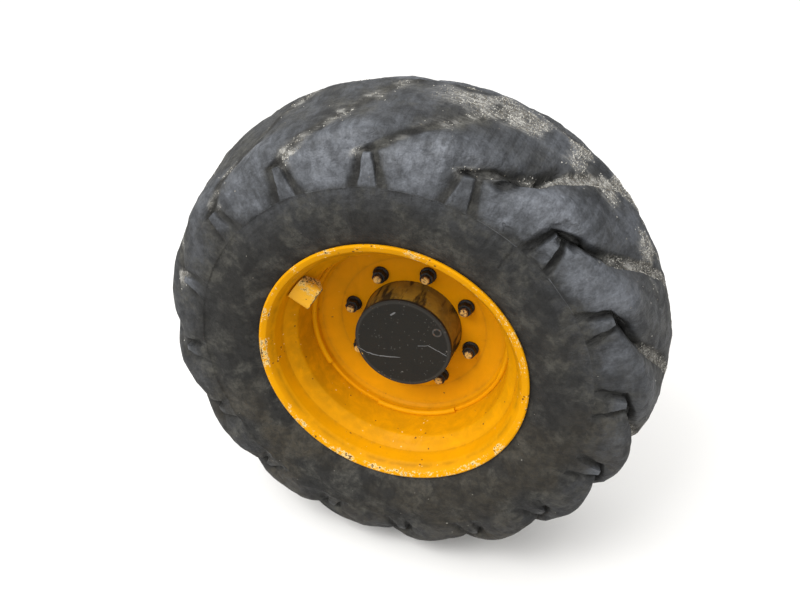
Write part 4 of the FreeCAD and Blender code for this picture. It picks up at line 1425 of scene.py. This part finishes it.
@dataclass
class Rim(Part):
    """Drop-centre rim barrel, and the dished disc with its skirt and weld."""

    lip_out: float = 0.480
    half_width: float = 0.180
    plate: float = 7.0 * MM
    lip_r: float = 0.281
    well_r: float = 0.222
    disc: float = 15.0 * MM
    skirt: float = 7.5 * MM
    skirt_in: float = 0.146        # the skirt's end, behind the lip
    bend_in: float = 0.167
    disc_face: float = 0.3012
    disc_bore_r: float = 0.1105
    disc_flat_r: float = 0.165
    weld_r: float = 6.6 * MM
    stitches: tuple[tuple[float, float], ...] = (
        (163.0, 215.5), (254.0, 305.0), (343.0, 395.0), (74.0, 126.0))

    def half_inside(self) -> list[Triple]:
        """Visible surface from the lip to the middle of the well, as distances from the centre plane."""
        side = self.half_width
        return [
            (self.lip_r, side - 1.2 * MM, 2.6 * MM),
            (self.lip_r - 4.0 * MM, side, 2.2 * MM),
            (0.2665, side - 3.5 * MM, 5.0 * MM),
            (0.2545, side - 22.0 * MM, 9.0 * MM),
            (0.2495, side - 50.0 * MM, 7.0 * MM),
            (0.2275, side - 77.0 * MM, 12.0 * MM),
            (self.well_r, side - 135.0 * MM, 30.0 * MM),
        ]

    def half_outside(self) -> list[Triple]:
        """The side that the tyre sits on."""
        side = self.half_width
        return [
            (self.lip_r, side - self.plate, 2.6 * MM),
            (0.2690, side - 10.5 * MM, 4.0 * MM),
            (0.2600, side - 22.0 * MM, 6.0 * MM),
            (0.2565, side - 50.0 * MM, 10.0 * MM),
            (0.2345, side - 77.0 * MM, 10.0 * MM),
            (self.well_r + self.plate, side - 138.5 * MM, 30.0 * MM),
        ]

    def barrel(self) -> bpy.types.Object:
        """The rim barrel."""
        centre = self.lip_out - self.half_width
        inner, outer = (
            [(r, centre + out, rounding) for r, out, rounding in half]
            + [(r, centre - out, rounding) for r, out, rounding in half[::-1]]
            for half in (self.half_inside(), self.half_outside()))
        return turned("rim_barrel", Outline(inner + outer[::-1], step=9 * MM), 256)

    def stain(self, made: bpy.types.Object) -> None:
        """Marks the well darker, partly soiling and partly painted shade, a line of painted shade inside the
        lip, and the lip's battered places.

        Args:
            made: the barrel.
        """
        places = vertex_places(made.data)
        degrees = np.degrees(np.arctan2(places[:, 2], places[:, 0])) % 360
        radius = np.hypot(places[:, 0], places[:, 2])
        low = 1 - rising(radius, 0.2405, 0.2475)
        # The well darker, partly soiling and partly painted shade, and a dark line of painted shade in the
        # groove inside the lip
        dirt_and_shade = low * (0.44 + 0.25 * hump(degrees, 205.0, 38.0)) + 0.85 * hump(radius, 0.2590, 3.2 * MM)
        edges = named_values(made.data, Mask.EDGE.value) * np.where(radius > 0.262, 1.0, 0.25)
        battered = between(degrees, 185, 225, 318, 345) + 0.8 * hump((degrees + 180) % 360, 190, 22)
        battered = 0.88 * np.clip(battered, 0, 1) * rising(radius, 0.262, 0.268)
        keep_values(made.data, Mask.DUST_AND_SHADE.value, dirt_and_shade)
        keep_values(made.data, Mask.EDGE.value, np.maximum(edges, battered))

    def plate_disc(self) -> bpy.types.Object:
        """The dished disc with its bolt holes hidden under the nuts."""
        skirt_r = self.well_r - 0.25 * MM
        inner_r = skirt_r - self.skirt
        face, back = self.disc_face, self.disc_face - self.disc
        bend, end = self.lip_out - self.bend_in, self.lip_out - self.skirt_in
        corners = [
            (self.disc_bore_r, back, 1.0 * MM),
            (self.disc_bore_r, face, 1.5 * MM),
            (self.disc_flat_r, face, 24.0 * MM),
            (inner_r - 7.0 * MM, bend, 9.0 * MM),
            (inner_r, bend + 8.0 * MM, 8.0 * MM),
            (inner_r, end, 3.2 * MM),
            (skirt_r, end, 1.0 * MM),
            (skirt_r, bend - 4.0 * MM, 6.0 * MM),
            (skirt_r - 11.5 * MM, bend - self.disc, 9.0 * MM),
            (self.disc_flat_r, back, 20.0 * MM),
        ]
        return turned("wheel_disc", Outline(corners, step=9 * MM), 224)

    def weld(self, finish: Finish) -> bpy.types.Object:
        """Stitches of weld in the corner between the skirt's end and the rim.

        Args:
            finish: the paint over the weld.

        Returns:
            The stitches as one piece.
        """
        curve = bpy.data.curves.new("disc_weld", "CURVE")
        curve.dimensions = "3D"
        path_r = self.well_r - 4.2 * MM
        out = self.lip_out - self.skirt_in + 0.6 * MM
        for start, stop in self.stitches:
            spline = curve.splines.new("POLY")
            angles = np.radians(np.arange(start, stop, 1.0))
            spline.points.add(len(angles) - 1)
            for point, angle in zip(spline.points, angles):
                point.co = (path_r * math.cos(angle), -out, path_r * math.sin(angle), 1.0)
        bead = {"Radius": self.weld_r, "Ripple": 9.0 * MM, "Ripple depth": 0.10}
        return BEAD.run(placed("disc_weld", curve), finish, **bead)

    def build(self) -> None:
        """Makes the rim, the disc and the weld."""
        paint = ChippedPaint("Chipped wheel paint", Slot.RIM, (0.76, 0.330, 0.001), rough=0.36, bump=0.35,
                             relief=0.8 * MM, specular=0.05, chips=0.165, pits=0.10)
        clean = ChippedPaint("Disc paint", Slot.RIM, (0.78, 0.320, 0.001), rough=0.38, bump=0.3,
                             relief=0.6 * MM, specular=0.05, chips=0.05, pits=0.03)
        barrel = self.barrel()
        self.stain(barrel)
        self.settle(barrel, paint, Body.WHEEL, "rim_barrel")
        self.settle(self.plate_disc(), clean, Body.WHEEL, "wheel_disc")
        self.settle(self.weld(paint), paint, Body.WHEEL, "disc_weld")


@dataclass
class Fastener:
    """Builder of small turned and six-sided pieces along the axle's direction, at one place on a ring."""

    ring_r: float
    angle: float

    @property
    def axis(self) -> Triple:
        """Where the piece's own axis meets the plane of the arm's flange face."""
        turn = math.radians(self.angle)
        return self.ring_r * math.cos(turn), 0.0, self.ring_r * math.sin(turn)

    def lathe(self, name: str, profile: Sequence[tuple[float, float]], sides: int,
              thread: Triple | None = None, tip: tuple[float, float] = (9.0, 10.0)) -> bpy.types.Object:
        """One piece turned about its own axis.

        Args:
            name: the object's name.
            profile: radius and out along it, from end to end. Its ends are closed.
            sides: divisions round it.
            thread: out at which a thread starts and ends, and its pitch.
            tip: outs between which the tip mask rises.

        Returns:
            The object.
        """
        table = np.array(profile)
        turn = np.linspace(0, 2 * math.pi, sides, endpoint=False)
        if thread:
            start, end, lead = thread
            cut = np.arange(start, end, lead / 5)
            table = np.vstack([table, np.column_stack([np.interp(cut, table[:, 1], table[:, 0]), cut])])
            table = table[np.argsort(table[:, 1], kind="stable")]
        radius, out = (np.repeat(table[:, k:k + 1], sides, axis=1) for k in (0, 1))
        if thread:
            wave = 0.45 * MM * np.abs(((out / lead + turn / (2 * math.pi)) % 1.0) * 2 - 1)
            radius = radius - np.where((out > start) & (out < end), wave, 0.0)
        points = np.stack([radius * np.cos(turn), -out, radius * np.sin(turn)], axis=2) + self.axis
        number = np.arange(len(table) * sides).reshape(len(table), sides)
        faces = [*quads(number, close_columns=True), number[0], number[-1][::-1]]
        rim = np.zeros(len(table))
        rim[1:-1] = np.abs(np.diff(np.arctan2(np.diff(table[:, 0]), np.diff(table[:, 1])))) > 0.5
        masks = {Mask.EDGE: np.repeat(rim, sides), Mask.TIP: np.repeat(rising(table[:, 1], *tip), sides)}
        return mesh_object(name, points.reshape(-1, 3), faces, masks, 34.0)


@dataclass
class WheelBolts(Part):
    """Eight studs pressed through the hub's flange, with the nuts that hold the wheel."""

    ring_r: float = 0.1375
    first: float = 168.33
    count: int = 8
    face: float = 0.3012
    flange_back: float = 0.2642
    nut_top: float = 0.322
    stud_end: float = 0.3318
    stud_r: float = 9.0 * MM
    collar_r: float = 18.0 * MM
    flats: float = 27.0 * MM

    def build(self) -> None:
        """Makes the ring of studs and the ring of nuts."""
        black = Steel("Blackened nut", Slot.NUT, (0.011, 0.010, 0.009), rough=0.5, bump=0.5, relief=0.5 * MM,
                      metal=0.1, rusty=0.20, rust=(0.022, 0.014, 0.009), specular=0.3)
        stud = Steel("Painted stud", Slot.STUD, (0.035, 0.030, 0.025), rough=0.5, bump=0.4, relief=0.4 * MM,
                     tipped=1.0, metal=0.3, rusty=0.45)
        maker = Fastener(self.ring_r, self.first)
        collar, bore, corner = self.collar_r, self.stud_r + 0.4 * MM, self.flats / math.sqrt(3)
        face, top, back, end = self.face, self.nut_top, self.flange_back, self.stud_end
        nut = maker.lathe("wheel_nuts", [
            (bore, face + 0.1 * MM), (collar - 1.2 * MM, face + 0.1 * MM), (collar, face + 1.4 * MM),
            (collar, face + 4.2 * MM), (collar - 1.6 * MM, face + 5.8 * MM),
            (corner + 0.6 * MM, face + 6.4 * MM), (corner, face + 7.2 * MM), (corner, top - 2.4 * MM),
            (corner - 1.4 * MM, top - 0.7 * MM), (corner - 3.0 * MM, top), (self.stud_r + 1.5 * MM, top),
            (bore, top - 1.2 * MM),
        ], 48)
        self.cut_flats(nut, maker)
        screw = maker.lathe("wheel_studs", [
            (12.0 * MM, back - 8.0 * MM), (14.0 * MM, back - 6.6 * MM), (14.0 * MM, back - 0.4 * MM),
            (self.stud_r, back), (self.stud_r, end - 2.2 * MM), (7.0 * MM, end),
        ], 28, (top - 4.0 * MM, end - 2.2 * MM, 1.5 * MM), (end - 3.6 * MM, end - 1.2 * MM))
        nuts = RING.run(nut, black, Count=self.count)
        studs = RING.run(screw, stud, Count=self.count)
        self.settle(nuts, black, Body.WHEEL, "wheel_nuts")
        self.settle(studs, stud, Body.WHEEL, "wheel_studs")

    def cut_flats(self, nut: bpy.types.Object, maker: Fastener) -> None:
        """Cuts six flats on the nut above its collar.

        Args:
            nut: the turned nut.
            maker: tells where its axis is.
        """
        places = vertex_places(nut.data)
        local = places - maker.axis
        radius = np.hypot(local[:, 0], local[:, 2])
        turn = np.arctan2(local[:, 2], local[:, 0])
        limit = self.flats / 2 / np.cos((turn % (math.pi / 3)) - math.pi / 6)
        high = (-places[:, 1] > self.face + 6.2 * MM) & (radius > self.stud_r + 2 * MM)
        scale = np.where(high, np.minimum(radius, limit) / np.maximum(radius, 1e-9), 1.0)
        local[:, [0, 2]] *= scale[:, None]
        move_points(nut.data, local + maker.axis)
        smooth(nut.data, 24.0)


@dataclass
class HubCover(Part):
    """Black end cover of the hub with its oil level plug."""

    foot: float = 0.2942
    front: float = 0.3773
    base_r: float = 0.110
    front_r: float = 0.1055
    plug_r: float = 11.0 * MM
    plug_at_r: float = 0.086
    plug_angle: float = 33.0
    scratch_y: float = -0.377
    # Scratches across the front, as x and z of the points that each runs through, and their widths
    scratches: tuple[tuple[tuple[tuple[float, float], ...], tuple[float, ...]], ...] = (
        (((-0.103, -0.031), (-0.078, -0.042), (-0.048, -0.044), (-0.003, -0.036)), (1.3, 1.6, 1.7)),
        (((0.035, 0.004), (0.056, 0.010), (0.078, 0.002), (0.099, -0.007)), (1.0, 1.3, 1.2)),
        (((-0.028, 0.068), (-0.018, 0.076)), (2.4,)),
    )

    def build(self) -> None:
        """Makes the cover and the plug."""
        scratches = tuple(((x, self.scratch_y, z), (to_x, self.scratch_y, to_z), wide * MM)
                          for path, widths in self.scratches
                          for (x, z), (to_x, to_z), wide in zip(path, path[1:], widths))
        black = HubBlack("Old hub paint", Slot.HUB, (0.009, 0.0085, 0.007), rough=0.5, bump=0.6,
                         relief=0.8 * MM, specular=0.15, scratches=scratches)
        corners = [
            (0.0, self.foot), (self.base_r, self.foot, 0.5 * MM),
            (self.front_r + 0.3 * MM, self.front - 0.6 * MM, 1.8 * MM),
            (self.front_r - 5.0 * MM, self.front - 0.1 * MM, 3.0 * MM), (0.0, self.front - 0.5 * MM),
        ]
        cover = turned("hub_cover", Outline(corners, closed=False, step=6 * MM), 192)
        self.settle(cover, black, Body.WHEEL, "hub_cover")
        steel = Steel("Plug steel", Slot.NUT, (0.035, 0.033, 0.030), rough=0.4, metal=0.4, rusty=0.3)
        top = self.front
        plug = Fastener(self.plug_at_r, self.plug_angle).lathe("level_plug", [
            (self.plug_r, top - 5.0 * MM), (self.plug_r, top - 0.6 * MM), (self.plug_r - 1.0 * MM, top),
            (6.8 * MM, top), (6.0 * MM, top - 0.8 * MM), (5.6 * MM, top - 4.0 * MM),
        ], 36)
        self.settle(plug, steel, Body.WHEEL, "level_plug")


@dataclass
class ValveGuard(Part):
    """Bent plate over the valve, welded by its outer end and its flanks to the rim's slope."""

    angle: float = 148.0
    lip_out: float = 0.480
    half: float = 29.0 * MM
    plate: float = 4.0 * MM
    bend_r: float = 11.0 * MM
    outer_r: float = 0.24925
    end: float = 0.199
    high_in: float = 27.0 * MM      # the top's depth at the rim
    rim_r: float = 0.2565
    lean: float = 7.0
    # Radius and depth of the rim's slope under the flanks
    feet: tuple[tuple[float, float], ...] = ((0.199, 0.0452), (0.218, 0.067), (0.2565, 0.043))
    rows: int = 22

    def section(self, inset: float) -> list[Triple]:
        """The way round the hood, from one flank's edge to the other's.

        Args:
            inset: how far inside the outer face it runs.

        Returns:
            For each point the distance across, the depth below the top, and its share of the way down the
            flank.
        """
        wide, bend = self.half - inset, self.bend_r - inset
        flank = [(wide, bend + inset, 1.0 - k / 7) for k in range(7)]
        turns = np.radians(np.linspace(0, 90, 7))
        arc = [(wide - bend + bend * math.cos(turn), inset + bend - bend * math.sin(turn), 0.0)
               for turn in turns]
        flat = [(across, inset, 0.0) for across in np.linspace(wide - bend, 0, 9)[1:]]
        side = flank + arc + flat
        return [(-across, deep, down) for across, deep, down in side[:-1]] + side[::-1]

    def shell(self, inset: float) -> np.ndarray:
        """One face of the plate.

        Args:
            inset: how far inside the outer face it is.

        Returns:
            A grid of places: along the radius, along the wheel's axis and across.
        """
        section = self.section(inset)
        slope = np.array(self.feet)
        grid = np.zeros((self.rows, len(section), 3))
        for j, (across, deep, down) in enumerate(section):
            start = math.sqrt(self.outer_r ** 2 - across ** 2)
            broken = 2.5 * MM * float(lattice_noise(np.array([[across, 0.0, 0.0]]), 9 * MM, 31)[0])
            for i, along in enumerate(np.linspace(start, self.end + 2.5 * MM + broken, self.rows)):
                top = self.high_in + math.tan(math.radians(self.lean)) * (self.rim_r - along) + deep
                foot = float(np.interp(along, slope[:, 0], slope[:, 1]))
                grid[i, j] = (along, -self.lip_out + top + down * max(foot - top, 1.0 * MM), across)
        return grid

    def build(self) -> None:
        """Makes the guard."""
        shells = [self.shell(inset) for inset in (0.0, self.plate)]
        rows, columns = shells[0].shape[:2]
        points = self.aged(np.concatenate([shell.reshape(-1, 3) for shell in shells]))
        number = np.arange(rows * columns).reshape(rows, columns)
        back = number + rows * columns
        loop, under = ([*grid[0], *grid[1:, -1], *grid[-1, -2::-1], *grid[-2:0:-1, 0]]
                       for grid in (number, back))
        faces = [*quads(number), *quads(back)[:, ::-1]]
        faces += [[loop[k - 1], under[k - 1], under[k], loop[k]] for k in range(len(loop))]
        share = np.linspace(0, 1, rows)[:, None]
        across = points[:rows * columns, 2].reshape(rows, columns) / self.half
        worn = 0.8 * rising(0.8 * share - 0.7 * across, 0.1, 1.1) + rising(share + 0 * across, 0.93, 1.0)
        # Painted shade: the flank that faces away from the light, laid darker through the dust mask
        flank = rising(np.abs(across), 0.93, 1.0) * (across < 0)
        cos, sin = math.cos(math.radians(self.angle)), math.sin(math.radians(self.angle))
        along, deep, aside = points.T
        turned_to = np.column_stack([along * cos - aside * sin, deep, along * sin + aside * cos])
        masks = {Mask.EDGE: np.tile(worn.ravel(), 2), Mask.DUST_AND_SHADE: np.tile(flank.ravel(), 2)}
        paint = ChippedPaint("Guard paint", Slot.RIM, (0.80, 0.40, 0.020), shade=(0.66, 0.32, 0.012),
                             rough=0.42, bump=0.8, relief=1.2 * MM, specular=0.2, chips=0.33, pits=0.6,
                             primer=(0.80, 0.53, 0.16), rust=(0.15, 0.085, 0.020))
        made = mesh_object("valve_guard", turned_to, faces, masks)
        self.settle(made, paint, Body.WHEEL, "valve_guard")

    def aged(self, points: np.ndarray) -> np.ndarray:
        """The points with the plate's dents."""
        dents = [lattice_noise(points, 16 * MM, 20 + k) for k in range(3)]
        return points + 0.5 * MM * np.column_stack(dents)


@dataclass
class Valve(Part):
    """Rubber stem of the valve, with its dust cap."""

    def build(self) -> None:
        """Dresses the valve's CAD nodes."""
        self.carry("valve_stem", Moulded("Valve rubber", Slot.VALVE, (0.020, 0.020, 0.020), rough=0.6))
        self.carry("valve_cap", Moulded("Cap plastic", Slot.CAP, (0.028, 0.028, 0.028), rough=0.45))


@dataclass
class Castings(Part):
    """Hub housing, spindle and axle arm behind the wheel."""

    # The hub housing's corners: radius, out and rounding in millimetres
    drum: tuple[Triple, ...] = (
        (0.0, 208.2, 0), (0.0, 294.0, 0), (110.25, 294.0, 1), (110.25, 286.2, 0.5), (163, 286.2, 2),
        (163, 264.2, 3), (122, 264.2, 5), (122, 176.2, 6), (114, 168.2, 3), (100, 162.2, 4),
        (100, 142.2, 3), (70.05, 142.2, 1), (70.05, 208.2, 0), (0.0, 208.2, 0),
    )

    def build(self) -> None:
        """Makes the hub housing and dresses the CAD nodes behind it."""
        iron = CastIron("Dirty casting", Slot.CASTING, (0.045, 0.040, 0.036), rough=0.62, bump=0.6,
                        relief=1.0 * MM)
        corners = [[size * MM for size in corner] for corner in self.drum]
        drum = turned("hub_drum", Outline(corners, closed=False, step=9 * MM), 160)
        self.settle(drum, iron, Body.WHEEL, "hub_drum")
        self.carry("axle_arm", iron)
        self.carry("spindle", iron)
        self.carry("spindle_bolts", Steel("Rusty zinc", Slot.ZINC, (0.36, 0.34, 0.29), rough=0.45,
                                          metal=0.8, rusty=0.5))
        self.carry("shaft_seal", Moulded("Seal rubber", Slot.SEAL, (0.018, 0.018, 0.019), rough=0.35))
        self.carry("half_shaft", Steel("Oily steel", Slot.BRIGHT, (0.42, 0.40, 0.37), rough=0.28,
                                       metal=0.95, rusty=0.15))


@dataclass
class Studio:
    """Plain pale floor, soft light and the camera where the photograph was taken."""

    eye: Triple = (0.3067, -1.5302, 0.8689)
    right: Triple = (0.9551, 0.2927, 0.0460)
    down: Triple = (0.1945, -0.5024, -0.8425)
    forward: Triple = (-0.2235, 0.8136, -0.5368)
    lens: float = 31.43
    sensor: float = 36.0
    floor_z: float = -0.5365
    floor_side: float = 60.0
    floor_lit: Triple = (0.34, 0.32, 0.29)      # what the floor throws back on the wheel
    floor_seen: Triple = (0.88, 0.87, 0.85)
    bright_sky: Triple = (-0.36, -0.44, 0.82)
    lamp_at: Triple = (-1.7, -2.9, 3.5)
    lamp_size: float = 2.2
    lamp_watts: float = 140.0
    wheel_at: Triple = (0.0, -0.3, 0.0)

    def camera(self) -> None:
        """Stands the camera."""
        data = bpy.data.cameras.new("camera")
        data.lens = self.lens
        data.sensor_width = self.sensor
        made = placed("camera", data)
        axes = Matrix((self.right, -Vector(self.down), -Vector(self.forward))).transposed()
        made.matrix_world = Matrix.Translation(self.eye) @ axes.to_4x4()
        bpy.context.scene.camera = made

    def floor(self) -> None:
        """Lays the floor."""
        half = self.floor_side / 2
        corners = [(x * half, y * half, self.floor_z) for x, y in ((-1, -1), (1, -1), (1, 1), (-1, 1))]
        mesh = bpy.data.meshes.new("floor")
        mesh.from_pydata(corners, [], [(0, 1, 2, 3)])
        material = bpy.data.materials.new("Floor")
        material.use_nodes = True
        shader = material.node_tree.nodes["Principled BSDF"]
        shader.inputs["Roughness"].default_value = 0.9
        tree = Tree(material.node_tree)
        rays_of = tree.node("ShaderNodeLightPath").outputs
        mirrored = tree.maths("MAXIMUM", rays_of["Is Glossy Ray"], rays_of["Is Transmission Ray"])
        seen = tree.maths("MAXIMUM", rays_of["Is Camera Ray"], mirrored)
        tree.feed(shader.inputs["Base Color"], tree.blend(self.floor_lit, self.floor_seen, seen))
        mesh.materials.append(material)
        placed("floor", mesh)

    def sky(self) -> None:
        """Open sky before and above the wheel and a shaded side behind it, seen as white."""
        world = bpy.data.worlds.new("studio")
        bpy.context.scene.world = world
        world.use_nodes = True
        tree = Tree(world.node_tree)
        tree.tree.nodes.clear()
        rays_of = tree.node("ShaderNodeLightPath").outputs
        seen = tree.maths("MAXIMUM", rays_of["Is Camera Ray"], rays_of["Is Transmission Ray"])
        way = tree.node("ShaderNodeTexCoord").outputs["Generated"]
        towards = tree.vectors("DOT_PRODUCT", way, self.bright_sky)
        strength = tree.maths("MAXIMUM", tree.step(towards, -0.55, 0.95, 0.12, 1.55), seen)
        light = tree.node("ShaderNodeBackground", {"Color": (1.0, 1.0, 1.0, 1.0), "Strength": strength})
        tree.node("ShaderNodeOutputWorld", {"Surface": light.outputs[0]})

    def lamp(self) -> None:
        """Stands a soft lamp that looks at the wheel."""
        data = bpy.data.lights.new("key", "AREA")
        data.shape = "SQUARE"
        data.size = self.lamp_size
        data.energy = self.lamp_watts
        made = placed("key", data)
        made.location = self.lamp_at
        aim = Vector(self.wheel_at) - Vector(self.lamp_at)
        made.rotation_euler = aim.to_track_quat("-Z", "Y").to_euler()

    def build(self) -> None:
        """Sets up the studio."""
        self.camera()
        self.floor()
        self.sky()
        self.lamp()
        bpy.context.scene.view_settings.view_transform = "Standard"


RING = Ring()
GRIT = Grit()
BEAD = Bead()


def main() -> None:
    """Builds the studio and every piece of the wheel end."""
    logging.basicConfig(level=logging.INFO, format="%(message)s")
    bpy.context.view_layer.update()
    Studio().build()
    for part in (Tyre(), Rim(), WheelBolts(), HubCover(), ValveGuard(), Valve(), Castings()):
        part.build()


if __name__ == "__main__":
    main()
